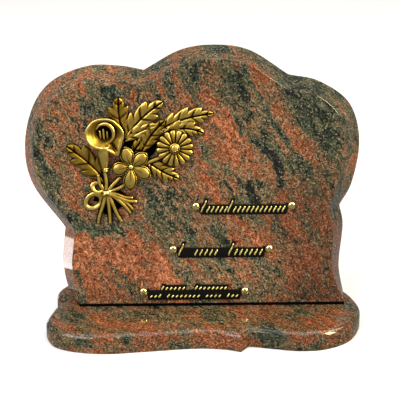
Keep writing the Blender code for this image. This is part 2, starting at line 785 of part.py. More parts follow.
def main():
    clear_scene()
    group = new_collection("funeral_plaque")
    granite = make_material("granite", (0.23, 0.12, 0.075), 0.12)
    antique_brass = make_material("antique_brass", (0.42, 0.28, 0.09), 0.38, 1.0)
    black_lacquer = make_material("black_lacquer", (0.02, 0.018, 0.015), 0.35)
    polished_brass = make_material("polished_brass", (0.85, 0.65, 0.28), 0.18, 1.0)

    middle_x, middle_y = box_middle()
    stand = add_empty("stand", group, location=(-middle_x, -middle_y, 0))
    slab_foot = (SLAB_OFFSET, SLAB_SETBACK - BASE_DEPTH / 2, BASE_HEIGHT + GAP)
    slab_frame = add_empty("slab_frame", group, stand, slab_foot, (-SLAB_LEAN, 0, 0))
    face_frame = add_empty("face_frame", group, slab_frame, (0, -GAP, 0), (math.radians(90), 0, 0))

    make_base(group, stand, granite)
    make_slab(group, slab_frame, granite)
    make_bouquet(group, face_frame, antique_brass)
    for name, place in make_bars(group, face_frame, black_lacquer):
        make_nail(name, place, group, face_frame, polished_brass)


main()
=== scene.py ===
# The looks of the funeral plaque: polished granite, a cast brass bouquet, inscription bars and nails.
# Metres, +Z up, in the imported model's frame. The bouquet is drawn in millimetres from its bow's knot.

import functools
import json
import math

import bmesh
import bpy
from mathutils import Matrix, Vector

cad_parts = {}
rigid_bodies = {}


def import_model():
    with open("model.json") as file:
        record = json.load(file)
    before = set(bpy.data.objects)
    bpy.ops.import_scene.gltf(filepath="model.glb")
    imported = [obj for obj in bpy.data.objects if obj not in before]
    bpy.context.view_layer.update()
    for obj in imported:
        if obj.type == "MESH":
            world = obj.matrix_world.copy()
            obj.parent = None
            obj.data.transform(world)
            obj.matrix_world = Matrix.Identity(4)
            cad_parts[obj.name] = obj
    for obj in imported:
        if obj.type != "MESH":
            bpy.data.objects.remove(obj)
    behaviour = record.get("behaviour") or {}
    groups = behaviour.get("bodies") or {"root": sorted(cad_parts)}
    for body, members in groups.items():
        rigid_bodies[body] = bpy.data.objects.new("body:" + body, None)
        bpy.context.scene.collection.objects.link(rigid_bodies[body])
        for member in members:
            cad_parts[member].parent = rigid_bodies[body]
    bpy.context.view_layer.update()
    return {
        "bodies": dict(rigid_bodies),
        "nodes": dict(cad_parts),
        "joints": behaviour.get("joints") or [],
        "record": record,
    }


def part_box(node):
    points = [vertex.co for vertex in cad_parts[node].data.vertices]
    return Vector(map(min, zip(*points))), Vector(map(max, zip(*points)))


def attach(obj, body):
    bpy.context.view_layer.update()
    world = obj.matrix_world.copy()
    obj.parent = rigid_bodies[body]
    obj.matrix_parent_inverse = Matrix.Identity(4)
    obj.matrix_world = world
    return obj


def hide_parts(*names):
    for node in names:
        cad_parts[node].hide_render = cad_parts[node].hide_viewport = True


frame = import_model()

# Slab and base, as in the model's source
SLAB_WIDTH = 0.3515
SLAB_HEIGHT = 0.2717
SLAB_THICKNESS = 0.030
SLAB_LEAN = math.radians(9.0)
EDGE_SPLAY = 0.0125
SLAB_ARRIS = 0.0009
BASE_WIDTH = 0.327
BASE_DEPTH = 0.134
BASE_HEIGHT = 0.020
BASE_ROUNDING = 0.0075
BASE_ARRIS = 0.0007
SLAB_SETBACK = 0.0686
SLAB_OFFSET = -0.011
FACE_GAP = 0.0003

# Inscription bars and nails
BAR_THICKNESS = 0.0014
STRIP_HEIGHT = 0.0105
STRIP_DROP = -0.0035
STRIP_CORNER = 0.0020
STROKE_RELIEF = 0.0009
STROKE_WIDTH = 0.0018
STROKE_SLANT = math.radians(22.0)
BACKING_MARGIN = 0.0014
BACKING_THICKNESS = 0.0012
TALL_STROKE = 0.0146
SHORT_STROKE = 0.0084
SMALL_STROKE = 0.0062
STROKE_FOOT = -0.0074
UPPER_ROW_FOOT = 0.0010
UPPER_ROW_INSET = 0.0120
EYELET_RADIUS = 0.0032
EYELET_THICKNESS = 0.0010
NAIL_HEAD_RADIUS = 0.0042
NAIL_HEAD_HEIGHT = 0.0030
NAIL_CLEARANCE = 0.0004
NAIL_STEPS = 12
NAIL_SIDES = 40
UPPER_ROW = "TsssssTssssssssssss"
MIDDLE_ROW = "T..sssss..Tssssss"
LOWER_ROWS = ("Tsssss..Tsssssss", "ssT.Tsssssss.ssss.Tss")

# Places on the slab's face, as shares of its width and height, and the bars' lengths from nail to nail
BOUQUET_AT = (-0.2550, 0.4490)
BARS = {
    "upper": ((0.1480, 0.3940), 0.0994),
    "middle": ((0.0815, 0.2252), 0.1004),
    "lower": ((0.0011, 0.0578), 0.1063),
}

# The slab's and the base's outlines, as in the model's source
SLAB_STRETCHES = [
    [(0.460, 0.020, 0.20), (0.447, 0.100, 0.65), (0.4455, 0.160, 0.95), (0.455, 0.294, 1.15),
     (0.444, 0.371, 1.25)],
    [(0.444, 0.371, 1.25), (0.480, 0.461, 1.60), (0.500, 0.626, 1.60), (0.4675, 0.7725, 1.35),
     (0.377, 0.858, 1.00), (0.284, 0.8855, 0.95)],
    [(0.284, 0.8855, 0.95), (0.170, 0.978, 0.95), (0.067, 1.000, 0.95), (-0.0357, 0.981, 0.95),
     (-0.143, 0.906, 0.95)],
    [(-0.143, 0.906, 0.95), (-0.212, 0.922, 0.95), (-0.307, 0.922, 0.95), (-0.411, 0.868, 1.00),
     (-0.472, 0.770, 1.00), (-0.500, 0.616, 1.00), (-0.4795, 0.462, 1.00), (-0.386, 0.290, 1.00)],
    [(-0.386, 0.290, 1.00), (-0.392, 0.228, 1.00), (-0.396, 0.165, 1.00), (-0.389, 0.088, 1.00),
     (-0.3755, 0.020, 1.00)],
]
BASE_STRETCHES = [
    [(-0.4555, 0.150), (-0.476, 0.062), (-0.496, -0.118), (-0.500, -0.216), (-0.477, -0.357),
     (-0.4357, -0.437), (-0.3648, -0.488), (-0.2877, -0.500), (-0.203, -0.477), (-0.0327, -0.429),
     (0.0603, -0.449), (0.1092, -0.492)],
    [(0.1092, -0.492), (0.122, -0.449), (0.1346, -0.402)],
    [(0.1346, -0.402), (0.2159, -0.449), (0.2924, -0.485), (0.3707, -0.465), (0.4376, -0.371),
     (0.4761, -0.240), (0.500, -0.055), (0.496, 0.098), (0.4713, 0.272), (0.426, 0.400)],
    [(0.426, 0.400), (0.360, 0.470), (0.240, 0.500), (0.090, 0.478), (-0.050, 0.470), (-0.200, 0.492),
     (-0.330, 0.500), (-0.432, 0.478), (-0.472, 0.376), (-0.480, 0.250), (-0.4555, 0.150)],
]
FINE_STEP = 0.0022
ARRIS_STEPS = 4
ROUNDING_STEPS = 8
SUPPORT = 0.0004
# How far the smooth outlines stay inside the model, whose own outlines are made of straight steps.
# SUPPORT is the width of the flat strip beside each rounded edge.
SLAB_HOLD_IN = 0.00035
BASE_HOLD_IN = 0.00012


# Outlines

def curve_point(points, share):
    """The point at a share from 0 to 1 along a smooth curve through the points."""
    spans = len(points) - 1
    place = share * spans
    i = min(int(place), spans - 1)
    t = place - i
    p1 = points[i]
    p2 = points[i + 1]
    p0 = points[i - 1] if i > 0 else p1 * 2 - p2
    p3 = points[i + 2] if i + 2 <= spans else p2 * 2 - p1
    square = (p0 * 2 - p1 * 5 + p2 * 4 - p3) * t * t
    cube = (p1 * 3 - p0 - p2 * 3 + p3) * t ** 3
    return (p1 * 2 + (p2 - p0) * t + square + cube) * 0.5


def stretch_samples(points, step):
    fine = [curve_point(points, k / 400) for k in range(401)]
    length = sum((b.xy - a.xy).length for a, b in zip(fine, fine[1:]))
    count = max(2, round(length / step))
    return [curve_point(points, k / count) for k in range(count + 1)]


def side_normal(start, end):
    along = (end.xy - start.xy).normalized()
    return Vector((along.y, -along.x))


def fine_outline(stretches, closed):
    """Points of an outline, how each one moves for one metre of offset outward, and its corners."""
    points = []
    corners = []
    for stretch in stretches:
        samples = stretch_samples(stretch, FINE_STEP)
        corners.append(len(points))
        points += samples[:-1]
    if not closed:
        corners.append(len(points))
        points.append(samples[-1])
    sides = [side_normal(a, b) for a, b in zip(points, points[1:] + points[:1])]
    offsets = []
    for k, side in enumerate(sides):
        before = sides[k - 1]
        if not closed and k == 0:
            before = side
        if not closed and k == len(points) - 1:
            side = before
        offsets.append((before + side) / (1 + before.dot(side)))
    return points, offsets, corners


def skin(shape, rows, closed):
    """Faces between neighbouring rows of points."""
    for low, high in zip(rows, rows[1:]):
        for j in range(len(low) if closed else len(low) - 1):
            following = (j + 1) % len(low)
            shape.faces.new((low[j], low[following], high[following], high[j]))


def close_body(shape, rows):
    """A closed body through rings of points: its skin and both ends."""
    shape.faces.new(rows[0])
    shape.faces.new(rows[-1][::-1])
    skin(shape, rows, closed=True)


def loft(sections, creases):
    """One closed body through sections of equally many points, sharp along the columns named in creases."""
    shape = bmesh.new()
    rows = [[shape.verts.new(point) for point in section] for section in sections]
    close_body(shape, rows)
    for column in creases:
        for low, high in zip(rows, rows[1:]):
            edge = shape.edges.get((low[column], high[column]))
            edge.smooth = False
    return shape


def smooth_mesh(name, shape):
    bmesh.ops.remove_doubles(shape, verts=shape.verts, dist=1e-7)
    bmesh.ops.recalc_face_normals(shape, faces=shape.faces)
    for face in shape.faces:
        face.smooth = True
    made = bpy.data.meshes.new(name)
    shape.to_mesh(made)
    shape.free()
    return made


def add_piece(name, shape, finish, replaced, frame):
    """A piece of the looks, drawn in a frame of the model."""
    mesh = smooth_mesh(name, shape)
    mesh.transform(frame)
    mesh.materials.append(finish)
    piece = bpy.data.objects.new(name, mesh)
    bpy.context.scene.collection.objects.link(piece)
    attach(piece, "root")
    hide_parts(replaced)


# Frames

def slab_foot():
    """Where the middle of the slab's front foot edge stands."""
    low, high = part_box("nail_upper_left")
    (x_share, _), length = BARS["upper"]
    x = (low[0] + high[0]) / 2 - x_share * SLAB_WIDTH + length / 2
    slab_low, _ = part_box("slab")
    return Vector((x, slab_low[1], slab_low[2]))


FOOT = slab_foot()
SLAB_FRAME = Matrix.Translation(FOOT) @ Matrix.Rotation(-SLAB_LEAN, 4, "X")
FACE_FRAME = SLAB_FRAME @ Matrix.Translation((0, -FACE_GAP, 0)) @ Matrix.Rotation(math.radians(90), 4, "X")
BASE_FRAME = Matrix.Translation((FOOT.x - SLAB_OFFSET, FOOT.y - SLAB_SETBACK + BASE_DEPTH / 2, 0))


# Granite pieces

def slab_section(points, offsets, depth, inset):
    foot = depth * math.tan(SLAB_LEAN)
    splay = EDGE_SPLAY * (1 - depth / SLAB_THICKNESS)
    section = []
    for point, offset in zip(points, offsets):
        inward = splay * point.z + inset + SLAB_HOLD_IN
        section.append((point.x - offset.x * inward, depth, max(point.y - offset.y * inward, foot)))
    for end, side in ((0, 1), (-1, -1)):
        inward = splay * points[end].z + inset + SLAB_HOLD_IN
        section[end] = (points[end].x - side * inward, depth, foot)
    return section


def arris_profile(radius):
    """Pairs of depth and inset around a rounded arris, from the face to the edge."""
    turns = [math.radians(90) * k / ARRIS_STEPS for k in range(ARRIS_STEPS + 1)]
    return [(radius * (1 - math.cos(turn)), radius * (1 - math.sin(turn))) for turn in turns]


def make_slab(finish):
    scaled = [[Vector((x * SLAB_WIDTH, v * SLAB_HEIGHT, splay)) for x, v, splay in stretch]
              for stretch in SLAB_STRETCHES]
    back_foot = SLAB_THICKNESS * math.tan(SLAB_LEAN)
    scaled[0][0].y = back_foot
    scaled[-1][-1].y = back_foot
    points, offsets, corners = fine_outline(scaled, closed=False)
    front = arris_profile(SLAB_ARRIS)
    profile = [(0, SLAB_ARRIS + SUPPORT)] + front + [(SLAB_ARRIS + SUPPORT, 0)]
    profile += [(SLAB_THICKNESS - depth, inset) for depth, inset in reversed(profile)]
    sections = [slab_section(points, offsets, depth, inset) for depth, inset in profile]
    add_piece("granite_slab", loft(sections, corners), finish, "slab", SLAB_FRAME)


def is_convex(points, k):
    before = points[k] - points[k - 1]
    after = points[(k + 1) % len(points)] - points[k]
    return before.x * after.y - before.y * after.x > 0


def drawn_in(points, offsets, corners, inset):
    """The outline moved inward. Points that would cross a convex corner's mitre stay on it."""
    moved = [Vector((p.x - o.x * inset, p.y - o.y * inset)) for p, o in zip(points, offsets)]
    count = len(points)
    reach = int(4 * inset / FINE_STEP) + 1
    for corner in corners:
        if not is_convex(points, corner):
            continue
        origin = points[corner].xy
        mitre = offsets[corner].normalized()
        across = Vector((-mitre.y, mitre.x))
        for step in range(1, reach + 1):
            for way in (-1, 1):
                k = (corner + way * step) % count
                side = (points[k].xy - origin).dot(across)
                if (moved[k] - origin).dot(across) * side <= 0:
                    moved[k] = moved[corner].copy()
    return moved


def make_base(finish):
    scaled = [[Vector((x * BASE_WIDTH, y * BASE_DEPTH, 0)) for x, y in stretch]
              for stretch in BASE_STRETCHES]
    points, offsets, corners = fine_outline(scaled, closed=True)
    profile = [(BASE_ARRIS + SUPPORT, 0.0), (BASE_ARRIS, 0.0), (0.3 * BASE_ARRIS, 0.3 * BASE_ARRIS),
               (0.0, BASE_ARRIS), (0.0, BASE_ARRIS + SUPPORT), (0.0, BASE_HEIGHT - BASE_ROUNDING - SUPPORT)]
    for k in range(ROUNDING_STEPS + 1):
        turn = math.radians(90) * k / ROUNDING_STEPS
        rise = BASE_ROUNDING * (1 - math.sin(turn))
        profile.append((BASE_ROUNDING * (1 - math.cos(turn)), BASE_HEIGHT - rise))
    profile.append((BASE_ROUNDING + SUPPORT, BASE_HEIGHT))
    sections = []
    for inset, height in profile:
        outline = drawn_in(points, offsets, corners, inset + BASE_HOLD_IN)
        sections.append([(p.x, p.y, height) for p in outline])
    add_piece("granite_base", loft(sections, corners), finish, "base", BASE_FRAME)


# Node helpers

class Shader:
    """Builds a material's nodes."""

    def __init__(self, name):
        self.material = bpy.data.materials.new(name)
        self.material.use_nodes = True
        self.tree = self.material.node_tree
        self.surface = self.tree.nodes["Principled BSDF"]

    def feed(self, socket, term):
        """Links a socket to another node's output, or sets it where the term is a plain value."""
        if isinstance(term, bpy.types.NodeSocket):
            self.tree.links.new(term, socket)
        else:
            socket.default_value = term

    def node(self, kind, inputs=None, **settings):
        made = self.tree.nodes.new(kind)
        for key, value in settings.items():
            setattr(made, key, value)
        for key, term in (inputs or {}).items():
            self.feed(made.inputs[key], term)
        return made

    def coat(self, inputs):
        """Gives the surface its inputs and returns the material."""
        for key, term in inputs.items():
            self.feed(self.surface.inputs[key], term)
        return self.material

    def place_in(self, frame):
        """Coordinates in metres in a frame of the model."""
        spot = self.node("ShaderNodeTexCoord").outputs["Object"]
        inputs = {"Vector": spot, "Location": frame.translation, "Rotation": frame.to_euler()}
        return self.node("ShaderNodeMapping", inputs, vector_type="TEXTURE").outputs[0]

    def maths(self, operation, a, b=0.0, clamp=False):
        return self.node("ShaderNodeMath", {0: a, 1: b}, operation=operation, use_clamp=clamp).outputs[0]

    def vector(self, operation, a, b=(0, 0, 0), output=0):
        return self.node("ShaderNodeVectorMath", {0: a, 1: b}, operation=operation).outputs[output]

    def scaled(self, vector, factor):
        return self.node("ShaderNodeVectorMath", {0: vector, "Scale": factor}, operation="SCALE").outputs[0]

    def swing(self, source, amount):
        """How far a value lies from a half, times an amount."""
        return self.maths("MULTIPLY", self.maths("SUBTRACT", source, 0.5), amount)

    def noise(self, place, density, detail, roughness=0.5):
        """The value and the colour of a noise."""
        inputs = {"Vector": place, "Scale": density, "Detail": detail, "Roughness": roughness}
        return self.node("ShaderNodeTexNoise", inputs).outputs

    def cells(self, place, density):
        """Two random values for each grain."""
        grain = self.node("ShaderNodeTexVoronoi", {"Vector": place, "Scale": density})
        parts = self.node("ShaderNodeSeparateColor", {0: grain.outputs["Color"]})
        return parts.outputs[0], parts.outputs[1]

    def spread(self, source, start, end, low=0.0, high=1.0, kind="LINEAR"):
        """A value from low to high as the source goes from start to end."""
        inputs = {"Value": source, "From Min": start, "From Max": end, "To Min": low, "To Max": high}
        return self.node("ShaderNodeMapRange", inputs, interpolation_type=kind).outputs[0]

    def ramp(self, source, stops):
        made = self.node("ShaderNodeValToRGB", {0: source})
        band = made.color_ramp
        while len(band.elements) < len(stops):
            band.elements.new(0.5)
        for element, (place, colour) in zip(band.elements, stops):
            element.position = place
            element.color = (*colour, 1.0)
        return made.outputs[0]

    def mix(self, factor, a, b):
        a, b = ((*term, 1.0) if isinstance(term, tuple) else term for term in (a, b))
        return self.node("ShaderNodeMix", {0: factor, 6: a, 7: b}, data_type="RGBA").outputs[2]


def srgb(*channels):
    """A colour given as the eye sees it, from 0 to 255, in the renderer's linear values."""
    return tuple((c / 255 / 12.92) if c <= 10 else ((c / 255 + 0.055) / 1.055) ** 2.4 for c in channels)


# Granite

STONE_DEPTH = 0.59


def stone(*channels):
    """A tone of the stone, as deep as its polish makes it."""
    return tuple(value * STONE_DEPTH for value in srgb(*channels))


STONE_ROUGHNESS = 0.06
STONE_SHINE = 0.34
WARMTH = (1.02, 0.98, 0.87)
# How the areas and streaks wander: the density and detail of the noise, and how far it moves them
WANDER = [(11.0, 2.0, 0.030), (80.0, 2.5, 0.014)]
# Streaks that follow the stone's flow: their density, their detail and how far they change the tone
SLAB_FLOW = (0, math.radians(60), 0)
BASE_FLOW = (0, 0, math.radians(-48))
STREAK_STRETCH = 4.2
STREAK_ROUGHNESS = 0.6
STREAKS = [(26.0, 2.0, 0.70), (82.0, 2.0, 1.30), (190.0, 2.0, 0.80)]
# Thin dark veins: the noise that they run along, half their width in it, and their tone
VEIN_NOISE = (56.0, 3.0, 0.55)
VEIN_WIDTH = 0.024
VEIN_TONE = -0.46
# Grains: their densities and how far they change the hue and, in octaves, the brightness
HUE_GRAINS = 560.0
HUE_JITTER = 0.05
THREADS = (620.0, 1.0)
THREAD_OCTAVES = 4.4
FINE_GRAINS = 980.0
GRAIN_OCTAVES = 2.4
OWN_GLOW = 0.65
PALE_GLOW = 0.35
GRAIN_COLOUR = stone(116, 104, 88)
DARK_FLECK = stone(26, 26, 20)
PALE_FLECK = stone(180, 160, 136)
DARK_FROM = 0.96
PALE_UNDER = 0.024
# Painted shadow along the slab's foot where it stands on the base: its black, and the heights in metres
# above its lowest edge over which it fades into the stone
FOOT_SHADOW_BLACK = (0.002, 0.002, 0.002)
FOOT_SHADOW_HEIGHTS = (0.0026, 0.0036)
# The stone's tones, from its black veins through olive and grey to its orange patches
MIDDLE_TONE = 0.60
TONES = [
    (0.00, stone(23, 30, 25)),
    (0.15, stone(56, 66, 53)),
    (0.32, stone(85, 92, 70)),
    (0.46, stone(116, 103, 76)),
    (0.58, stone(141, 104, 75)),
    (0.72, stone(154, 97, 64)),
    (0.86, stone(165, 92, 56)),
    (1.00, stone(192, 122, 84)),
]
# Areas where dark or red grains gather: how much, start and end in millimetres from the middle of the slab's
# foot or of the base, and radius. AREA_REACH says at how many radii an area begins and is whole.
AREA_STRENGTH = 0.85
AREA_REACH = (1.6, 0.3)
SLAB_AREAS = [
    (-0.38, (112, 232), (142, 182), 27),
    (-0.10, (-70, 226), (70, 240), 26),
    (0.10, (110, 90), (140, 20), 34),
    (-0.26, (24, 268), (52, 236), 11),
    (-0.26, (52, 236), (92, 188), 16),
    (-0.75, (66, 172), (80, 158), 4),
    (-0.90, (80, 158), (91, 128), 3.5),
    (-0.60, (57, 132), (72, 110), 3),
    (-0.60, (-150, 118), (-134, 96), 3),
    (-0.45, (-92, 230), (-74, 220), 4),
    (-0.50, (20, 84), (44, 60), 3),
    (-0.45, (60, 56), (84, 36), 3),
    (-0.17, (112, 148), (150, 112), 18),
    (-0.26, (-164, 172), (-142, 118), 7),
    (-0.26, (-142, 118), (-124, 84), 6),
    (-0.20, (-168, 196), (-166, 168), 8),
    (-0.22, (-104, 214), (-86, 204), 11),
    (-0.50, (0, 252), (2, 244), 5),
    (-0.14, (-46, 108), (16, 74), 22),
    (-0.24, (-124, 80), (-72, 84), 8),
    (-0.20, (10, 146), (40, 112), 5),
    (0.26, (74, 238), (92, 208), 9),
    (0.22, (92, 208), (122, 158), 9),
    (0.12, (-36, 222), (22, 206), 15),
    (0.15, (24, 188), (58, 150), 15),
    (0.22, (-122, 58), (-40, 40), 22),
    (0.14, (-150, 214), (-128, 190), 14),
    (0.16, (0, 156), (26, 122), 10),
    (0.12, (20, 96), (70, 60), 16),
]
BASE_AREAS = [
    (-0.24, (-140, -20), (-120, -48), 14),
    (-0.18, (-20, -50), (10, -20), 14),
    (-0.22, (70, -62), (100, -24), 13),
    (0.18, (-110, -40), (-60, -50), 16),
    (0.20, (10, -58), (60, -28), 13),
    (0.18, (110, -40), (140, -20), 12),
]
# Areas of the stone that are lighter or darker without another hue, given in the same way
SLAB_SHADES = [
    (-0.50, (128, 100), (140, 10), 46),
    (-0.24, (-50, 244), (60, 250), 32),
    (-0.12, (110, 220), (140, 180), 30),
    (0.02, (-120, 70), (-60, 20), 40),
    (0.34, (-10, 30), (66, 36), 34),
]
BASE_SHADES = [(-0.30, (-160, 0), (160, 0), 100), (-0.14, (80, -40), (150, 10), 40)]


def granite_material(name, frame, areas, shades, up_axis, flow, foot_shadow):
    """Polished granite whose hue changes with areas and streaks and whose grains differ in brightness."""
    shader = Shader(name)
    place = shader.place_in(frame)
    bent = place
    for density, detail, reach in WANDER:
        cloud = shader.noise(place, density, detail)["Color"]
        swing = shader.vector("SUBTRACT", cloud, (0.5, 0.5, 0.5))
        bent = shader.vector("ADD", bent, shader.scaled(swing, reach))
    run = {"Vector": bent, "Rotation": flow, "Scale": (STREAK_STRETCH, 1.0, 1.0)}
    turned = shader.node("ShaderNodeMapping", run, vector_type="TEXTURE").outputs[0]
    tone = streaked(shader, turned, area_tone(shader, bent, areas, up_axis))
    jitter = shader.swing(shader.cells(place, HUE_GRAINS)[1], HUE_JITTER)
    level = shader.maths("ADD", shader.maths("ADD", tone, jitter), MIDDLE_TONE, clamp=True)
    brightness, fleck = shader.cells(place, FINE_GRAINS)
    colour = grained(shader, turned, shader.ramp(level, TONES), brightness)
    shade = shader.maths("ADD", area_tone(shader, bent, shades, up_axis), 1.0)
    colour = shader.scaled(shader.vector("MULTIPLY", colour, WARMTH), shade)
    colour = shader.mix(shader.maths("GREATER_THAN", fleck, DARK_FROM), colour, DARK_FLECK)
    colour = shader.mix(shader.maths("LESS_THAN", fleck, PALE_UNDER), colour, PALE_FLECK)
    shine = STONE_SHINE
    # Painted shadow along the slab's foot: black and without gloss for a few millimetres above its lowest
    # edge.
    if foot_shadow:
        height = shader.node("ShaderNodeSeparateXYZ", {0: place}).outputs["Z"]
        above_foot_shadow = shader.spread(height, *FOOT_SHADOW_HEIGHTS)
        colour = shader.mix(above_foot_shadow, FOOT_SHADOW_BLACK, colour)
        shine = shader.maths("MULTIPLY", above_foot_shadow, STONE_SHINE)
    return shader.coat({"Base Color": colour, "Roughness": STONE_ROUGHNESS, "Specular IOR Level": shine})


def streaked(shader, turned, tone):
    """The tone with streaks and dark veins along the stone's flow."""
    for density, detail, amount in STREAKS:
        streak = shader.noise(turned, density, detail, STREAK_ROUGHNESS)[0]
        tone = shader.maths("ADD", tone, shader.swing(streak, amount))
    vein = shader.maths("ABSOLUTE", shader.maths("SUBTRACT", shader.noise(turned, *VEIN_NOISE)[0], 0.5))
    return shader.maths("ADD", tone, shader.spread(vein, VEIN_WIDTH, 0.0, 0.0, VEIN_TONE, "SMOOTHSTEP"))


def grained(shader, turned, colour, brightness):
    """The colour with brighter and darker grains, some of them drawn out along the flow."""
    threads = shader.swing(shader.noise(turned, *THREADS)[0], THREAD_OCTAVES)
    octaves = shader.maths("ADD", threads, shader.swing(brightness, GRAIN_OCTAVES))
    glow = shader.maths("SUBTRACT", shader.maths("POWER", 2.0, octaves), 1.0)
    own = shader.scaled(colour, shader.maths("MULTIPLY", glow, OWN_GLOW))
    pale = shader.scaled(GRAIN_COLOUR, shader.maths("MULTIPLY", glow, PALE_GLOW))
    colour = shader.vector("ADD", colour, shader.vector("ADD", own, pale))
    return shader.vector("MAXIMUM", colour, DARK_FLECK)


def area_tone(shader, bent, areas, up_axis):
    """How much darker or redder each place is for the areas around it."""
    flat = shader.vector("MULTIPLY", bent, (1, 1, 0) if up_axis == "Y" else (1, 0, 1))
    tone = 0.0
    for amount, start, end, radius in areas:
        a, b = (Vector((x, y, 0) if up_axis == "Y" else (x, 0, y)) / 1000 for x, y in (start, end))
        run = b - a
        from_start = shader.vector("SUBTRACT", flat, a)
        along = shader.vector("DOT_PRODUCT", from_start, run, output=1)
        share = shader.maths("DIVIDE", along, run.length_squared, clamp=True)
        away = shader.vector("SUBTRACT", from_start, shader.scaled(run, share))
        far = shader.vector("LENGTH", away, output=1)
        outer, inner = (radius / 1000 * reach for reach in AREA_REACH)
        near = shader.spread(far, outer, inner, 0.0, amount * AREA_STRENGTH, "SMOOTHSTEP")
        tone = shader.maths("ADD", near, tone)
    return tone


# Metals and lacquer

# Brass from its recesses, dark with patina and painted shade, to its ridges, rubbed and painted with
# highlights
BRASS_TONES = [(0.05, srgb(11, 7, 2)), (0.31, srgb(72, 53, 15)), (0.66, srgb(152, 121, 44)),
               (0.92, srgb(248, 218, 122))]
BRASS_ROUGHNESS = 0.30
# How far the painted shade of a hollow reaches, and the openness that its darkest and brightest tones stand
# for
HOLLOW_REACH = 0.006
OPENNESS = (0.42, 0.94)
# Heights over the slab's face between which the patina and the painted shade of the casting's low parts end
PATINA_AND_SHADE_HEIGHTS = (0.0007, 0.0024)
# Pointiness of an edge from dull to rubbed and painted with a highlight, and the brightness that it gives
WEAR_AND_HIGHLIGHT = (0.48, 0.56, 0.62, 1.0)
# Noises as density and detail: clouds in the patina, pits, and marks of handling
CLOUDS = (170.0, 5.0)
CLOUD_STRENGTH = 0.30
PITS = (900.0, 3.0)
PIT_STRENGTH = 0.10
PIT_DEPTH = 0.0004
HANDLING = (700.0, 4.0)
LACQUER_CLOUDS = (300.0, 3.0)
LACQUER_TONES = [(0.3, srgb(5, 5, 4)), (0.8, srgb(14, 12, 10))]
LACQUER_ROUGHNESS = 0.32
LACQUER_SHINE = 0.15
STROKE_COLOUR = srgb(255, 238, 140)
NAIL_COLOUR = srgb(238, 214, 142)


def brass_material(name, frame):
    """Brass painted darker in its hollows, grooves and low parts, as patina and painted shade, and brighter
    on its ridges, as rubbed wear and a painted highlight.
    """
    shader = Shader(name)
    place = shader.place_in(frame)
    # Painted shade in hollows and between the parts of the casting, from how open each place is.
    shade = shader.node("ShaderNodeAmbientOcclusion", {"Distance": HOLLOW_REACH}, samples=8)
    open_air = shader.spread(shade.outputs["AO"], *OPENNESS)
    # Rubbed wear and a painted highlight on sharp ridges, which are made brighter.
    edge = shader.node("ShaderNodeNewGeometry").outputs["Pointiness"]
    wear_and_highlight = shader.spread(edge, *WEAR_AND_HIGHLIGHT)
    # Patina and painted shade on the low parts of the casting, near the slab's face.
    height = shader.node("ShaderNodeSeparateXYZ", {0: place}).outputs["Z"]
    raised = shader.spread(height, *PATINA_AND_SHADE_HEIGHTS)
    # The patina and painted shade that each point of the casting carries.
    patina_and_shade = shader.node("ShaderNodeAttribute", attribute_name="recess").outputs["Fac"]
    level = shader.maths("MULTIPLY", shader.maths("MULTIPLY", open_air, wear_and_highlight), raised)
    level = shader.maths("MULTIPLY", level, shader.maths("SUBTRACT", 1.0, patina_and_shade, clamp=True))
    cloud = shader.swing(shader.noise(place, *CLOUDS)[0], CLOUD_STRENGTH)
    level = shader.maths("ADD", level, cloud, clamp=True)
    rough = shader.spread(level, 0.0, 1.0, BRASS_ROUGHNESS * 1.9, BRASS_ROUGHNESS)
    pits = {"Height": shader.noise(place, *PITS)[0], "Strength": PIT_STRENGTH, "Distance": PIT_DEPTH}
    normal = shader.node("ShaderNodeBump", pits).outputs[0]
    return shader.coat({"Base Color": shader.ramp(level, BRASS_TONES), "Roughness": rough, "Metallic": 1.0,
                        "Normal": normal})


def polished_material(name, colour, roughness):
    """Polished brass with a faint cloud of handling marks."""
    shader = Shader(name)
    place = shader.node("ShaderNodeTexCoord").outputs["Object"]
    cloud = shader.noise(place, *HANDLING)[0]
    darker = tuple(value * 0.72 for value in colour)
    rough = shader.spread(cloud, 0.0, 1.0, roughness * 1.5, roughness * 0.8)
    tone = shader.ramp(cloud, [(0.35, darker), (0.7, colour)])
    return shader.coat({"Base Color": tone, "Roughness": rough, "Metallic": 1.0})


def lacquer_material():
    shader = Shader("black_lacquer")
    place = shader.node("ShaderNodeTexCoord").outputs["Object"]
    tone = shader.ramp(shader.noise(place, *LACQUER_CLOUDS)[0], LACQUER_TONES)
    return shader.coat({"Base Color": tone, "Roughness": LACQUER_ROUGHNESS,
                        "Specular IOR Level": LACQUER_SHINE})


# Bouquet, in millimetres from its bow's knot, +Z away from the slab's face

MILLIMETRE = 0.001
BACK_PLANE = 0.3
# Leaves: start, tip, half width, lobes on each side and bend. They are raised by up to two steps in turn.
LEAVES = [
    ((19.0, 57.0), (14.0, 99.5), 12.0, 3, 2.0),
    ((20.0, 57.0), (59.5, 95.0), 12.0, 3, 3.0),
    ((19.0, 55.0), (53.5, 71.5), 7.5, 2, 1.5),
    ((55.0, 66.0), (111.3, 82.5), 10.5, 4, 3.0),
    ((60.0, 62.0), (101.5, 62.0), 9.0, 3, 5.0),
    ((37.0, 44.0), (61.0, 75.5), 9.5, 3, 2.0),
    ((26.0, 40.0), (41.6, 61.2), 6.0, 2, 0.0),
    ((42.0, 34.0), (75.5, 15.0), 9.5, 3, -2.0),
    ((0.0, 13.0), (-40.0, 50.0), 13.0, 3, -2.0),
]
LEAF_RAISE = 0.25
LEAF_STEPS = 18
# How much of the blade the notches leave, and the half width of the grooves
LEAF_DEPTH = 0.66
LEAF_GROOVE = 0.75
LEAF_ACROSS = 14
LEAF_FULLNESS = 1.22
# How far a leaf's row runs outward and forward, and the height of its dome
LEAF_OUT = 0.86
LEAF_FORWARD = 0.56
LEAF_LIFT = 1.3
LEAF_DOME = 2.2
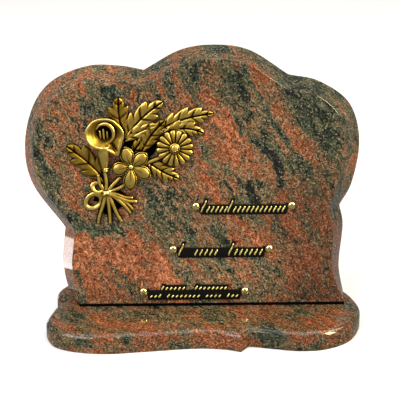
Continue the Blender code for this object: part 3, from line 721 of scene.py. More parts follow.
# How much notches, veins, the midrib and the margin lower a leaf, and how dark they paint it, as patina and
# painted shade
LEAF_CUTS = (0.7, 0.6, 1.2, 0.7)
LEAF_DARKS = (1.1, 0.95, 1.3, 0.35)
# Petals of the flower: angle in degrees and length
FLOWER_AT = (25.8, 28.2)
FLOWER_PETALS = [(39, 21.9), (108, 22.2), (190, 20.5), (267, 25.0), (333, 23.0)]
PETAL_ROOT = 1.8
PETAL_HALF_WIDTH = 7.6
PETAL_STEPS = 30
PETAL_ACROSS = 38
PETAL_DOME = 2.3
# How much a petal's engraved line, fold and outer edge lower it, and how dark they paint it, as patina and
# painted shade
PETAL_CUTS = (0.6, 0.6, 0.8)
PETAL_DARKS = (1.3, 1.6, 1.1)
PETAL_LIFT = 5.2
PETAL_LIFT_STEP = 0.3
# Beads: radius, height and lift of one, and for a ring its count, reach, lift, radius, height and sides
FLOWER_BEAD = (2.5, 1.9, 7.6)
FLOWER_BEADS = (9, 3.3, 7.0, 0.55, 0.5, 8)
DAISY_BEADS = [(5, 1.3, 8.0, 0.55, 0.45, 7), (10, 2.7, 7.7, 0.55, 0.45, 7)]
DAISY_AT = (70.8, 46.8)
DAISY_RADIUS = 18.9
DAISY_ROOT = 4.6
DAISY_PETALS = 16
DAISY_STEPS = 16
DAISY_ACROSS = 14
DAISY_LIFT = 4.2
DAISY_DOME = 1.2
# How much a daisy petal's edge and fold lower it, and how dark they paint it, as patina and painted shade
DAISY_CUTS = (0.0, 0.35)
DAISY_DARKS = (1.3, 0.8)
# Round bodies of the daisy, as radius, height and recess: its backing, painted dark all over as the shade
# between its petals, and its disc
DAISY_SHADE_BACKING = [(15.6, BACK_PLANE, 1.0), (15.6, 3.0, 1.0), (14.8, 3.6, 1.0), (3.0, 3.8, 1.0)]
DAISY_DISC = [(6.1, 4.6, 1.0), (5.9, 5.5, 0.9), (5.4, 5.8, 0.3), (5.1, 6.5, 0.1), (4.6, 7.0, 0.0),
              (4.3, 6.8, 0.9), (4.0, 6.9, 0.9), (3.7, 7.3, 0.1), (2.4, 7.9, 0.0), (0.9, 8.2, 0.0)]
# Stems and ribbon tails: the points of each route with their height, and half width
STEMS = [
    ([(0, 2, 3.0), (-3.5, -12, 3.2), (-7.5, -24, 2.6), (-8.8, -31.5, 1.6)], 2.1),
    ([(1, 2, 3.0), (2.4, -12, 3.0), (3.4, -24, 2.4), (3.6, -31.5, 1.6)], 2.1),
    ([(2, 1, 3.2), (7.0, -12, 3.2), (11.5, -23, 2.4), (15.5, -30.0, 1.6)], 2.0),
    ([(3, 1, 3.6), (12.0, -6, 4.2), (19.0, -13, 3.4), (25.0, -21.0, 2.0)], 1.9),
    ([(3, 1, 3.8), (13.0, -3.6, 4.4), (21.0, -10, 3.6), (27.5, -17.0, 2.2)], 1.5),
    ([(2, 0, 3.8), (12.0, -3.5, 4.4), (22.0, -7.5, 3.6), (31.5, -8.5, 2.2)], 1.9),
    ([(2, 2, 3.4), (12.0, -1.0, 3.8), (20.0, -4.2, 3.0), (27.4, -4.8, 1.8)], 1.5),
    ([(0, 3, 3.0), (0.5, 12, 3.2), (-0.8, 21, 3.2), (-1.0, 29.0, 3.0)], 2.1),
    ([(2, 3, 2.6), (7, 9, 2.6), (11, 13, 2.4), (15, 17, 2.2)], 2.0),
    ([(4, 2, 2.2), (18, 8, 2.2), (32, 20, 2.2), (44, 33, 2.2)], 1.9),
    ([(40, 31, 2.2), (48, 34, 2.2), (56, 37, 2.2), (62, 38, 2.2)], 1.9),
    ([(-2, 3, 2.4), (-6, 9, 2.4), (-7.5, 15, 2.4), (-8, 20, 2.2)], 1.8),
]
STEM_POINTS = 22
STEM_SIDES = 16
STEM_FULLER = 0.95
STEM_TAPER = 0.16
# Loops of the bow: middle, radius, turn in degrees and width of the ribbon
BOW_LOOPS = [((-9.0, 6.5), 6.8, 150, 5.0), ((-12.5, -7.5), 10.8, 35, 6.6)]
LOOP_STEPS = 48
LOOP_SIDES = 14
LOOP_FLATNESS = 0.78
LOOP_HEIGHT = 3.0
# The two turns of ribbon over the knot
KNOT_TURNS = [
    ((-4.4, -2.6, 3.0), (-0.5, 0.5, 7.2), (4.8, 3.4, 3.0)),
    ((-4.0, 2.0, 3.0), (0.2, 1.2, 6.6), (4.6, -1.6, 3.0)),
]
KNOT_AT = (0.0, 0.6)
KNOT_BEAD = (3.2, 2.4, 3.4)
KNOT_POINTS = 14
KNOT_RADIUS = 1.7
# The arum: its throat, how far its rim reaches at each angle in degrees, and its section from the back over
# the rim into the throat, as the rim's share of the reach, the throat's share, height and recess, the
# darkness painted there as shade: deep in the throat and under the rim
ARUM_THROAT = 9.6
ARUM_MIDDLE = Vector((-1.2, 62.4))
ARUM_SIDES = 96
ARUM_RINGS = 60
ARUM_REACHES = [(0, 20.5), (45, 18.0), (90, 16.8), (135, 18.0), (180, 19.2), (225, 18.0), (262, 16.6),
                (285, 20.0), (303, 26.5), (318, 22.5), (338, 20.5), (360, 20.5)]
ARUM_SECTION = [
    (0.60, 0.0, 1.2, 1.0), (0.80, 0.0, 4.0, 0.9), (0.93, 0.0, 7.0, 0.3), (1.00, 0.0, 8.9, 0.0),
    (0.99, 0.0, 9.9, 0.0), (0.94, 0.0, 10.4, 0.0), (0.87, 0.0, 10.1, 0.0), (0.72, 0.10, 8.9, 0.10),
    (0.50, 0.30, 7.6, 0.16), (0.26, 0.62, 7.2, 0.14), (0.06, 0.96, 6.8, 0.12), (0.0, 1.00, 6.2, 0.25),
    (0.0, 0.90, 5.2, 0.45), (0.0, 0.76, 4.2, 0.65), (0.0, 0.45, 3.2, 0.95), (0.0, 0.25, 2.8, 1.0),
]
ARUM_TUBE = [(-0.6, 25.0, 2.8), (-1.0, 33.0, 4.4), (-1.4, 41.0, 5.6), (-1.8, 49.0, 5.4)]
# Curled edges and spadix strokes in the throat, and the rings around the foot of the tube
ARUM_CURLS = [
    ([(-9.4, 67.0, 6.6), (-5.2, 72.0, 8.0), (1.8, 73.2, 9.0), (7.6, 68.5, 9.4), (8.8, 60.5, 9.0),
      (5.2, 54.0, 7.6)], 1.9),
    ([(-16.5, 54.0, 10.4), (-9.0, 49.4, 11.4), (-1.0, 47.6, 11.2), (7.0, 44.6, 10.2),
      (11.5, 40.5, 9.0)], 1.7),
]
SPADIX_STROKES = [((-4.4, 56.5, 3.6), (-5.4, 66.0, 5.6)), ((-0.8, 55.4, 3.8), (-1.8, 68.0, 6.2)),
                  ((2.6, 57.0, 3.8), (2.2, 65.0, 5.8))]
TUBE_RINGS = [(26.6, 1.25), (24.6, 1.0)]
TUBE_POINTS = 26
CURL_POINTS = 34
SPADIX_POINTS = 12
SPADIX_RADIUS = 1.25
RING_POINTS = 14
# Where the arum's lip, crease and right side are, as angle and reach in degrees
LIP_AT = (238, 42)
CREASE_AT = (306, 9)
RIGHT_REACH = 40
LIP_RISE = 0.16
RIGHT_DROP = 0.10
CREASE_DEPTH = 1.6
# How dark the crease is painted, as patina and painted shade, and the right side of the blade, as painted
# shade
CREASE_DARK = 0.55
RIGHT_SIDE_SHADE = 0.18
# How much of a stem's and of the ribbon's width stays bright as a painted highlight, free of the painted
# shade on its sides
STEM_CREST = 0.32
RIBBON_CREST = 0.66
# Thin dark sheets between the stems and behind the middle leaves, painted as the shade and dark metal in the
# gaps
SHADE_SHEET_TOP = 1.1
SHADE_SHEETS = [
    [(-5.5, 2), (-7.5, -19), (0, -23), (9, -20), (17, -13), (23, -6), (20, -1), (6, 6)],
    [(16, 38), (20, 56), (34, 62), (50, 62), (54, 54), (50, 42), (42, 34), (34, 34)],
    [(-14, -8), (-10, -2), (-4, 4), (2, 0), (-4, -10)],
]


def flat_route(points, count):
    """Points along a smooth curve through the given ones."""
    knots = [Vector(p) for p in points]
    return [curve_point(knots, k / (count - 1)) for k in range(count)]


def put(shape, point, recess=0.0):
    """A point of the casting, and how dark it is painted, from 0 to 1: patina and painted shade in its
    grooves and hollows, painted shade on its sides and undersides.
    """
    made = shape.verts.new(point)
    made[shape.verts.layers.float["recess"]] = min(1.0, max(0.0, recess))
    return made


def dip(distance, width):
    """A smooth bump, 1 in its middle."""
    return math.exp(-(distance / width) ** 2)


def swell(t, power):
    """An arch over t from 0 to 1."""
    return max(0.0, math.sin(math.pi * t)) ** power


def course(route, k):
    """The direction of a route at one of its points, and the level direction across it."""
    along = (route[min(k + 1, len(route) - 1)] - route[max(k - 1, 0)]).normalized()
    return along, Vector((-along.y, along.x, 0)).normalized()


def polar(radius, angle):
    """The point at a distance and an angle from the middle."""
    return radius * math.cos(angle), radius * math.sin(angle)


def blade(shape, route, half_widths, surface, steps):
    """A closed blade along a route. The surface gives height and recess for a place across and along it."""
    rows = []
    for k, centre in enumerate(route):
        across = course(route, k)[1]
        top = []
        bottom = []
        for j in range(steps + 1):
            v = 2 * j / steps - 1
            point = centre + across * half_widths[k] * v
            rise, recess = surface(v, k / (len(route) - 1), half_widths[k])
            point.z += rise
            top.append(put(shape, point, recess))
            # The blade's underside and the walls down to it are painted dark, as shade.
            bottom.append(put(shape, (point.x, point.y, BACK_PLANE), 1.0))
        rows.append(top + bottom[::-1])
    close_body(shape, rows)


def rod(shape, route, radii, sides, flatten=1.0):
    """A round rod along a route, closed at both ends."""
    rows = []
    for k, centre in enumerate(route):
        along, across = course(route, k)
        rise = along.cross(across) * flatten
        ring = []
        for j in range(sides):
            aside, up = polar(radii[k], math.tau * j / sides)
            ring.append(shape.verts.new(centre + across * aside + rise * up))
        rows.append(ring)
    close_body(shape, rows)


def leaf(shape, start, tip, half_width, lobes, bend, raised):
    """A leaf with pointed lobes swept towards its tip, and grooves along its midrib and side veins."""
    run = Vector(tip) - Vector(start)
    side = Vector((-run.y, run.x)).normalized()
    count = lobes * LEAF_STEPS
    rib = []
    for i in range(count + 1):
        t = i / count
        spot = Vector(start) + run * t + side * bend * math.sin(math.pi * t)
        rib.append(Vector((spot.x, spot.y, 0)))
    for way in (-1, 1):
        rows = []
        feet = []
        for i in range(count + 1):
            ahead = (rib[min(i + 1, count)] - rib[max(i - 1, 0)]).normalized()
            row = leaf_row(shape, rib[i], ahead, way, half_width, lobes, i / count, raised)
            edge = row[-1].co
            # The leaf's walls down to the slab's face are painted dark, as shade.
            feet.append(put(shape, (edge.x, edge.y, BACK_PLANE), 1.0))
            rows.append(row + [feet[-1]])
        skin(shape, rows, closed=False)
        rib_feet = [put(shape, (spot.x, spot.y, BACK_PLANE), 1.0) for spot in rib]
        skin(shape, [feet, rib_feet], closed=False)


def weighed(marks, weights):
    """The sum of each mark times its weight."""
    return sum(mark * weight for mark, weight in zip(marks, weights))


def leaf_row(shape, spot, ahead, way, half_width, lobes, t, raised):
    """The points of a leaf from its midrib to its margin at a share t of its length."""
    out = Vector((-ahead.y, ahead.x, 0)) * way
    p = (t * lobes + 0.001) % 1.0
    near_notch = min(p, 1 - p) if 0.02 < t < 0.98 else 1.0
    envelope = swell(0.13 + 0.87 * t ** 0.86, 0.80)
    lobe = LEAF_DEPTH + (1 - LEAF_DEPTH) * (p ** 1.1 * (1 - p) ** 0.16) / 0.62
    reach = half_width * LEAF_FULLNESS * envelope * lobe
    row = []
    for j in range(LEAF_ACROSS + 1):
        u = j / LEAF_ACROSS
        point = spot + out * reach * u * LEAF_OUT + ahead * reach * LEAF_FORWARD * u ** 1.25
        notch = dip(near_notch, 0.06) * max(0.0, u - 0.38) / 0.62
        vein = dip(p - 0.42 - 0.10 * u, 0.075) * swell(min(1.0, u * 1.12), 0.4)
        middle = dip(u * reach, LEAF_GROOVE)
        margin = dip((1 - u) * reach, 0.55)
        dome = LEAF_LIFT + raised + LEAF_DOME * swell(0.16 + 0.74 * u, 0.7) + 0.9 * t * t
        marks = (notch, vein, middle, margin)
        point.z = max(BACK_PLANE + 0.1, dome - weighed(marks, LEAF_CUTS))
        row.append(put(shape, point, weighed(marks, LEAF_DARKS)))
    return row


def petal_surface(length, v, t, width):
    """Height and recess of the flower's petal: domed inside an engraved line and a raised rim."""
    from_edge = min((1 - abs(v)) * width, (1 - t) * length * 0.9)
    line = dip(from_edge - 1.75, 0.50) * min(1.0, 4 * t)
    fold = dip(v * width, 0.45) * max(0.0, 0.6 - t)
    outer = dip(from_edge, 0.45)
    rise = PETAL_DOME * (1 - v * v) * swell(0.15 + 0.75 * t, 0.6) + 0.4 * dip(from_edge - 0.8, 0.5)
    marks = (line, fold, outer)
    return rise - weighed(marks, PETAL_CUTS), weighed(marks, PETAL_DARKS)


def flower_petal(shape, angle, length, lift):
    out = Vector((*polar(1, angle), 0))
    root = Vector((*FLOWER_AT, lift)) + out * PETAL_ROOT
    route = []
    widths = []
    for k in range(PETAL_STEPS + 1):
        t = k / PETAL_STEPS
        point = root + out * (length - PETAL_ROOT) * t
        point.z = lift + 1.2 * swell(0.8 * t, 1.0) - 0.8 * t
        route.append(point)
        widths.append(PETAL_HALF_WIDTH * max(0.14, swell(0.07 + 0.92 * t ** 1.25, 0.72)))
    blade(shape, route, widths, functools.partial(petal_surface, length), PETAL_ACROSS)


def bead(shape, centre, radius, height, lift, sides=20, rings=8):
    made = bmesh.ops.create_uvsphere(shape, u_segments=sides, v_segments=rings, radius=1.0)["verts"]
    bmesh.ops.scale(shape, vec=(radius, radius, height), verts=made)
    bmesh.ops.translate(shape, vec=(*centre, lift), verts=made)


def ring_of_beads(shape, centre, count, reach, lift, radius, height, sides):
    for k in range(count):
        x, y = polar(reach, math.tau * k / count)
        bead(shape, (centre[0] + x, centre[1] + y), radius, height, lift, sides, 5)


def flower(shape):
    for k, (angle, length) in enumerate(FLOWER_PETALS):
        flower_petal(shape, math.radians(angle), length, PETAL_LIFT + PETAL_LIFT_STEP * (k % 2))
    bead(shape, FLOWER_AT, *FLOWER_BEAD)
    ring_of_beads(shape, FLOWER_AT, *FLOWER_BEADS)


def daisy_surface(v, t, width):
    """Height and recess of a daisy's petal, dark along its sides and its fold."""
    edge = dip((1 - abs(v)) * width, 0.60)
    fold = dip(v * width, 0.30) * max(0.0, 0.6 - t)
    marks = (edge, fold)
    return DAISY_DOME * (1 - v * v) ** 0.8 - weighed(marks, DAISY_CUTS), weighed(marks, DAISY_DARKS)


def turned_body(shape, centre, profile, sides):
    """A round body through a profile of radius, height and recess."""
    rows = []
    for reach, height, recess in profile:
        ring = []
        for j in range(sides):
            angle = math.tau * j / sides
            x, y = polar(reach, angle)
            ring.append(put(shape, (centre[0] + x, centre[1] + y, height), recess))
        rows.append(ring)
    close_body(shape, rows)


def daisy_petal(shape, angle):
    out = Vector((*polar(1, angle), 0))
    route = []
    widths = []
    for i in range(DAISY_STEPS + 1):
        t = i / DAISY_STEPS
        reach = DAISY_ROOT + (DAISY_RADIUS - DAISY_ROOT) * t
        point = Vector((*DAISY_AT, 0)) + out * reach
        point.z = DAISY_LIFT + 1.3 * swell(0.85 * t, 1.0) - 0.7 * t
        route.append(point)
        end = math.sqrt(max(0.03, 1 - (max(0.0, t - 0.78) / 0.222) ** 2))
        widths.append(0.97 * math.pi * reach / DAISY_PETALS * end)
    blade(shape, route, widths, daisy_surface, DAISY_ACROSS)


def daisy(shape):
    turned_body(shape, DAISY_AT, DAISY_SHADE_BACKING, 48)
    for k in range(DAISY_PETALS):
        daisy_petal(shape, math.tau * (k + 0.3) / DAISY_PETALS)
    turned_body(shape, DAISY_AT, DAISY_DISC, 40)
    for ring in DAISY_BEADS:
        ring_of_beads(shape, DAISY_AT, *ring)


def arum_reach(angle):
    """How far the arum's rim reaches from its throat: longest at its tip on the lower right."""
    turn = math.degrees(angle) % 360
    for (low, first), (high, second) in zip(ARUM_REACHES, ARUM_REACHES[1:]):
        if turn <= high:
            share = (turn - low) / (high - low)
            return first + (second - first) * share * share * (3 - 2 * share)
    return ARUM_REACHES[-1][1]


def dip_at(angle, middle, reach):
    """A dip around the arum at an angle, with its middle and reach in degrees."""
    return dip(angle - math.radians(middle), math.radians(reach))


def arum_ring(shape, outer, inner, height, recess):
    """One ring of the arum's flared blade: its reach shared between the rim's and the throat's."""
    ring = []
    bend = outer * (1 - outer) * 4
    for j in range(ARUM_SIDES):
        angle = math.tau * j / ARUM_SIDES
        lip = dip_at(angle, *LIP_AT)
        crease = bend * dip_at(angle, *CREASE_AT)
        right = dip_at(angle, 360, RIGHT_REACH) + dip_at(angle, 0, RIGHT_REACH)
        x, y = polar(arum_reach(angle) * outer + ARUM_THROAT * inner, angle)
        rise = height * (1.0 + outer * (LIP_RISE * lip - RIGHT_DROP * right)) - CREASE_DEPTH * crease
        # Painted shade deep in the throat, along the crease and on the right side of the blade, with patina
        # in the crease too.
        dark = recess + CREASE_DARK * crease + RIGHT_SIDE_SHADE * right * min(1.0, 2 * (1 - outer))
        spot = (ARUM_MIDDLE.x + x, ARUM_MIDDLE.y + y * 0.98, max(BACK_PLANE, rise))
        ring.append(put(shape, spot, dark))
    return ring


def arum(shape):
    """An arum lily: a tube, a flared rim that rolls outward, and a throat painted dark as shade, with its
    spadix.
    """
    widening = [k / (TUBE_POINTS - 1) for k in range(TUBE_POINTS)]
    rod(shape, flat_route(ARUM_TUBE, TUBE_POINTS), [2.6 + 5.2 * share ** 0.75 for share in widening], 32)
    knots = [Vector(knot) for knot in ARUM_SECTION]
    sections = [curve_point(knots, k / (ARUM_RINGS - 1)) for k in range(ARUM_RINGS)]
    close_body(shape, [arum_ring(shape, *section) for section in sections])
    for route, thickness in ARUM_CURLS:
        radii = [thickness * swell(0.06 + 0.88 * k / (CURL_POINTS - 1), 0.7) for k in range(CURL_POINTS)]
        rod(shape, flat_route(route, CURL_POINTS), radii, 14, 0.8)
    for ends in SPADIX_STROKES:
        shares = [0.10 + 0.80 * k / (SPADIX_POINTS - 1) for k in range(SPADIX_POINTS)]
        radii = [SPADIX_RADIUS * swell(share, 0.5) for share in shares]
        rod(shape, flat_route(ends, SPADIX_POINTS), radii, 12)
    for y, radius in TUBE_RINGS:
        route = flat_route([(-3.9, y, 2.6), (-0.2, y - 0.5, 6.6), (3.6, y, 2.6)], RING_POINTS)
        rod(shape, route, [radius] * RING_POINTS, 10)


def painted_side_shade(angle, crest):
    """How dark a round bar is painted at an angle around it: painted shade on its sides and underside, and
    none on its crest, which stays bright as a painted highlight.
    """
    if math.sin(angle) < 0:
        return 1.0
    return 1.5 * max(0.0, abs(math.cos(angle)) - crest) / (1 - crest)


def bow_loop(shape, centre, radius, turn, band):
    """One loop of flat ribbon that rises and dips as it goes round."""
    rows = []
    for j in range(LOOP_STEPS + 1):
        angle = math.tau * j / LOOP_STEPS
        flat = Vector((math.cos(angle), math.sin(angle) * LOOP_FLATNESS))
        flat.rotate(Matrix.Rotation(math.radians(turn), 2))
        width = band * (0.60 + 0.40 * abs(math.cos(angle / 2)))
        ring = []
        for k in range(LOOP_SIDES):
            around = math.tau * k / LOOP_SIDES
            reach = radius - width * 0.34 + width * 0.62 * math.cos(around)
            swing = 2.0 * math.sin(around) * (1 + 0.45 * math.cos(around))
            height = LOOP_HEIGHT + 0.8 * math.sin(angle) + swing
            spot = (centre[0] + flat.x * reach, centre[1] + flat.y * reach, max(BACK_PLANE, height))
            # Painted shade on the ribbon's sides and underside, and a painted highlight on its crest.
            ring.append(put(shape, spot, painted_side_shade(around, RIBBON_CREST)))
        rows.append(ring)
    skin(shape, rows, closed=True)


def stem(shape, points, half):
    """A stem, painted dark along its sides and underside as shade."""
    route = flat_route(points, STEM_POINTS)
    rows = []
    for k, centre in enumerate(route):
        across = course(route, k)[1]
        radius = (half + STEM_FULLER) * (1 - STEM_TAPER * k / (STEM_POINTS - 1))
        ring = []
        for j in range(STEM_SIDES):
            angle = math.tau * j / STEM_SIDES
            aside, up = polar(radius, angle)
            point = centre + across * aside
            point.z = max(BACK_PLANE, point.z + up)
            ring.append(put(shape, point, painted_side_shade(angle, STEM_CREST)))
        rows.append(ring)
    close_body(shape, rows)


def shade_sheet(shape, outline):
    """A thin, low sheet between the parts of the casting, painted dark as the shade and dark metal in the
    gaps.
    """
    close_body(shape, [[put(shape, (x, y, z), 1.0) for x, y in outline] for z in (BACK_PLANE, SHADE_SHEET_TOP)])


def make_bouquet(finish):
    shape = bmesh.new()
    shape.verts.layers.float.new("recess")
    arum(shape)
    for k, (start, tip, half_width, lobes, bend) in enumerate(LEAVES):
        leaf(shape, start, tip, half_width, lobes, bend, LEAF_RAISE * (k % 3))
    flower(shape)
    daisy(shape)
    for points, half in STEMS:
        stem(shape, points, half)
    for outline in SHADE_SHEETS:
        shade_sheet(shape, outline)
    for centre, radius, turn, band in BOW_LOOPS:
        bow_loop(shape, centre, radius, turn, band)
    bead(shape, KNOT_AT, *KNOT_BEAD)
    for points in KNOT_TURNS:
        rod(shape, flat_route(points, KNOT_POINTS), [KNOT_RADIUS] * KNOT_POINTS, 12)
    bmesh.ops.scale(shape, vec=(MILLIMETRE, MILLIMETRE, MILLIMETRE), verts=shape.verts)
    place = Matrix.Translation((BOUQUET_AT[0] * SLAB_WIDTH, BOUQUET_AT[1] * SLAB_HEIGHT, 0))
    add_piece("bouquet_casting", shape, finish, "bouquet", FACE_FRAME @ place)


# Inscription bars and nails

def flat_piece(shape, outline, low, high, arris=0.00022):
    """A flat closed piece with a rounded upper arris. Its outline runs counter-clockwise."""
    count = len(outline)
    sides = [side_normal(Vector(a), Vector(b)) for a, b in zip(outline, outline[1:] + outline[:1])]
    offsets = [(sides[k - 1] + sides[k]) / max(0.35, 1 + sides[k - 1].dot(sides[k])) for k in range(count)]
    rows = []
    for height, inset in ((low, 0.0), (high - arris, 0.0), (high - arris * 0.3, arris * 0.3), (high, arris)):
        rows.append([shape.verts.new((p[0] - o.x * inset, p[1] - o.y * inset, height))
                     for p, o in zip(outline, offsets)])
    close_body(shape, rows)


def strip_length(length):
    return length - 2 * (NAIL_HEAD_RADIUS + NAIL_CLEARANCE)


def strip_outline(length, corner_steps=6):
    half_length = strip_length(length) / 2 - STRIP_CORNER
    half_height = STRIP_HEIGHT / 2 - STRIP_CORNER
    outline = []
    for quarter, (side_x, side_y) in enumerate(((1, 1), (-1, 1), (-1, -1), (1, -1))):
        for k in range(corner_steps + 1):
            turn = math.radians(90) * (quarter + k / corner_steps)
            outline.append((side_x * half_length + STRIP_CORNER * math.cos(turn),
                            STRIP_DROP + side_y * half_height + STRIP_CORNER * math.sin(turn)))
    return outline


def eyelet_outline(length, side):
    inner = side * (strip_length(length) / 2 - STRIP_CORNER)
    outline = [(inner, side * EYELET_RADIUS), (inner, -side * EYELET_RADIUS)]
    for k in range(17):
        turn = math.radians(180) * k / 16 - math.radians(90)
        x, y = polar(EYELET_RADIUS, turn)
        outline.append((side * (length / 2 + x), side * y))
    return outline


def slanted_point(x, foot, y):
    return (x + (y - foot) * math.tan(STROKE_SLANT), y)


def backing_outline(runs):
    foot = runs[0][1]
    edge = STROKE_WIDTH / 2 + BACKING_MARGIN
    marks = [runs[0][0][0] - edge]
    marks += [(left[0][-1] + right[0][0]) / 2 for left, right in zip(runs, runs[1:])]
    marks.append(runs[-1][0][-1] + edge)
    outline = [slanted_point(marks[0], foot, STRIP_DROP), slanted_point(marks[-1], foot, STRIP_DROP)]
    for k in reversed(range(len(runs))):
        top = foot + runs[k][2] + BACKING_MARGIN
        outline += [slanted_point(marks[k + 1], foot, top), slanted_point(marks[k], foot, top)]
    return outline


def row_runs(pattern, length, foot, tall, short):
    """The words of a row, each a list of runs of like strokes: their places, foot and height."""
    pitch = length / len(pattern)
    words = []
    before = "."
    for k, mark in enumerate(pattern):
        height = tall if mark == "T" else short
        x = pitch * (k + 0.5) - length / 2 - height * math.tan(STROKE_SLANT) / 2
        if mark != "." and before == ".":
            words.append([])
        if mark != "." and mark == before:
            words[-1][-1][0].append(x)
        elif mark != ".":
            words[-1].append(([x], foot, height))
        before = mark
    return words


def backed_groups(words):
    groups = []
    for word in words:
        group = []
        for places, foot, height in word:
            if foot + height > STRIP_DROP + STRIP_HEIGHT / 2:
                group.append((places, foot, height))
            elif group:
                groups.append(group)
                group = []
        if group:
            groups.append(group)
    return groups


def stroke(shape, x, foot, height):
    """A raised stroke with round ends, half sunk in the bar and slightly bent like a pen's."""
    route = []
    radii = []
    steps = 14
    inset = STROKE_WIDTH / 2
    for k in range(steps + 1):
        t = k / steps
        y = foot + inset + (height - 2 * inset) * t
        across, up = slanted_point(x, foot, y)
        sway = 0.00032 * math.sin(math.tau * (t - 0.5))
        route.append(Vector((across + sway, up, BAR_THICKNESS)))
        near_end = min(t, 1 - t) * (height - 2 * inset) / inset
        radii.append(inset * (0.55 + 0.45 * min(1.0, near_end) ** 0.5) * (1.0 - 0.18 * t))
    rod(shape, route, radii, 12, STROKE_RELIEF / inset)


def bar_words(name, length):
    row = strip_length(length) - 2 * BACKING_MARGIN
    if name == "upper":
        return row_runs(UPPER_ROW, row, STROKE_FOOT, TALL_STROKE, SHORT_STROKE)
    if name == "middle":
        return row_runs(MIDDLE_ROW, row, STROKE_FOOT, TALL_STROKE, SHORT_STROKE)
    small = SMALL_STROKE
    first = row_runs(LOWER_ROWS[0], row - 2 * UPPER_ROW_INSET, UPPER_ROW_FOOT, small, 0.8 * small)
    return first + row_runs(LOWER_ROWS[1], row, STROKE_FOOT, 0.95 * small, 0.75 * small)


def nail_head(finish, name, x, place):
    """A domed nail head with a thin rim."""
    shape = bmesh.new()
    rim = EYELET_THICKNESS + FACE_GAP
    profile = [(NAIL_HEAD_RADIUS * 0.97, rim), (NAIL_HEAD_RADIUS, rim + 0.12 * NAIL_HEAD_HEIGHT)]
    for k in range(NAIL_STEPS):
        across, up = polar(1, math.radians(90) * k / NAIL_STEPS)
        profile.append((NAIL_HEAD_RADIUS * across, rim + NAIL_HEAD_HEIGHT * (0.15 + 0.85 * up)))
    rows = []
    for radius, z in profile:
        rows.append([shape.verts.new((*polar(radius, math.tau * j / NAIL_SIDES), z))
                     for j in range(NAIL_SIDES)])
    skin(shape, rows, closed=True)
    for ring, z in ((rows[0], EYELET_THICKNESS), (rows[-1], rim + NAIL_HEAD_HEIGHT)):
        middle = shape.verts.new((0, 0, z))
        for j, corner in enumerate(ring):
            shape.faces.new((corner, ring[(j + 1) % NAIL_SIDES], middle))
    add_piece(f"{name}_head", shape, finish, name, place @ Matrix.Translation((x, 0, 0)))


def make_bars(lacquer, stroke_brass, nail_brass):
    for name, ((x_share, y_share), length) in BARS.items():
        place = FACE_FRAME @ Matrix.Translation((x_share * SLAB_WIDTH, y_share * SLAB_HEIGHT, 0))
        words = bar_words(name, length)
        plate = bmesh.new()
        flat_piece(plate, strip_outline(length), 0.0, BAR_THICKNESS)
        for side in (-1, 1):
            flat_piece(plate, eyelet_outline(length, side), 0.0, EYELET_THICKNESS)
        for group in backed_groups(words):
            flat_piece(plate, backing_outline(group), 0.0, BACKING_THICKNESS)
        node = f"inscription_bar_{name}"
        add_piece(f"bar_{name}_plate", plate, lacquer, node, place)
        strokes = bmesh.new()
        for word in words:
            for places, foot, height in word:
                for x in places:
                    stroke(strokes, x, foot, height)
        add_piece(f"bar_{name}_strokes", strokes, stroke_brass, node, place)
        for end, side in (("left", -1), ("right", 1)):
            nail_head(nail_brass, f"nail_{name}_{end}", side * length / 2, place)


# Stage and light

FLOOR_HALF = 6.0
FLOOR_COLOUR = (0.92, 0.92, 0.92, 1.0)
WORLD_STRENGTH = 0.34
# Lamps: place, target, size, watts and colour. The glints are seen as reflections alone.
LAMPS = {
    "key": ((-2.1, -2.0, 2.5), (0, 0, 0.1), (2.2, 2.2), 104, (1, 1, 1)),
    "overhead": ((0.3, 0.0, 3.2), (0, 0.3, 0), (3.0, 3.0), 84, (1, 1, 1)),
    "right_lamp": ((1.05, 0.05, 1.2), (0.1, 0, 0.02), (0.55, 0.55), 12, (1.0, 0.82, 0.46)),
    "right_glint": ((1.22, -0.66, 1.0), (0.1, 0, 0.02), (0.45, 0.8), 60, (1.0, 0.88, 0.52)),
    "left_glint": ((-0.252, 0.146, 0.006), (-0.134, 0.026, 0.062), (0.044, 0.064), 0.032, (1, 1, 1)),
}


def make_stage():
    shape = bmesh.new()
    bmesh.ops.create_grid(shape, x_segments=1, y_segments=1, size=FLOOR_HALF)
    mesh = bpy.data.meshes.new("floor")
    shape.to_mesh(mesh)
    shape.free()
    floor = bpy.data.objects.new("floor", mesh)
    bpy.context.scene.collection.objects.link(floor)
    mesh.materials.append(Shader("floor_white").coat({"Base Color": FLOOR_COLOUR, "Roughness": 0.6}))
    floor.visible_glossy = False


def add_light(name, place, target, size, energy, colour):
    data = bpy.data.lights.new(name, "AREA")
    data.shape = "RECTANGLE"
    data.size, data.size_y = size
    data.energy = energy
    data.color = colour
    lamp = bpy.data.objects.new(name, data)
    lamp.location = place
    lamp.visible_camera = False
    lamp.visible_diffuse = not name.endswith("glint")
    lamp.rotation_euler = (Vector(target) - Vector(place)).to_track_quat("-Z", "Y").to_euler()
    bpy.context.scene.collection.objects.link(lamp)


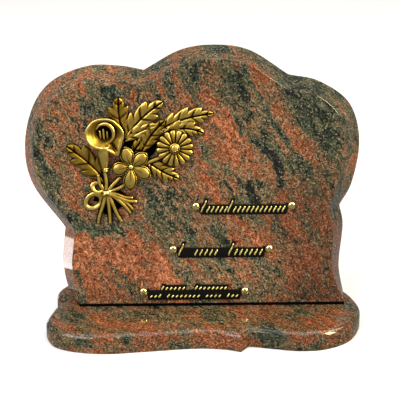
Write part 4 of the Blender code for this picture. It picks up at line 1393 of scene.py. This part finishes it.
def make_lights():
    world = bpy.data.worlds.new("studio")
    world.use_nodes = True
    background = world.node_tree.nodes["Background"]
    background.inputs["Color"].default_value = (1.0, 1.0, 1.0, 1.0)
    background.inputs["Strength"].default_value = WORLD_STRENGTH
    bpy.context.scene.world = world
    for name, lamp in LAMPS.items():
        add_light(name, *lamp)
    bpy.context.scene.view_settings.view_transform = "Standard"


# Camera: it looks down on the plaque, as in the photo, with a point of the slab's foot at a known pixel

CAMERA_DISTANCE = 1.40
CAMERA_ELEVATION = math.radians(21.5)
CAMERA_YAW = math.radians(1.2)
FOCAL_PIXELS = 1330.0
PHOTO_PIXELS = 400.0
ANCHOR_PIXEL = (211.25, 305.3)
ANCHOR_FROM_FOOT = 0.01845


def make_camera():
    ahead = Vector((math.sin(CAMERA_YAW) * math.cos(CAMERA_ELEVATION),
                    math.cos(CAMERA_YAW) * math.cos(CAMERA_ELEVATION), -math.sin(CAMERA_ELEVATION)))
    right = Vector((math.cos(CAMERA_YAW), -math.sin(CAMERA_YAW), 0))
    above = right.cross(ahead)
    aside, down = ((pixel - PHOTO_PIXELS / 2) / FOCAL_PIXELS for pixel in ANCHOR_PIXEL)
    ray = ahead + right * aside - above * down
    anchor = FOOT + Vector((ANCHOR_FROM_FOOT, 0, 0))
    data = bpy.data.cameras.new("camera")
    data.sensor_width = 36.0
    data.lens = FOCAL_PIXELS / PHOTO_PIXELS * data.sensor_width
    camera = bpy.data.objects.new("camera", data)
    turn = Matrix((right, above, -ahead)).transposed()
    camera.matrix_world = Matrix.Translation(anchor - ray * CAMERA_DISTANCE) @ turn.to_4x4()
    bpy.context.scene.collection.objects.link(camera)
    bpy.context.scene.camera = camera


def main():
    make_slab(granite_material("granite_slab", SLAB_FRAME, SLAB_AREAS, SLAB_SHADES, "Z", SLAB_FLOW, True))
    make_base(granite_material("granite_base", BASE_FRAME, BASE_AREAS, BASE_SHADES, "Y", BASE_FLOW, False))
    make_bouquet(brass_material("antique_brass", FACE_FRAME))
    make_bars(lacquer_material(), polished_material("stroke_brass", STROKE_COLOUR, 0.30),
              polished_material("nail_brass", NAIL_COLOUR, 0.10))
    make_stage()
    make_lights()
    make_camera()


main()
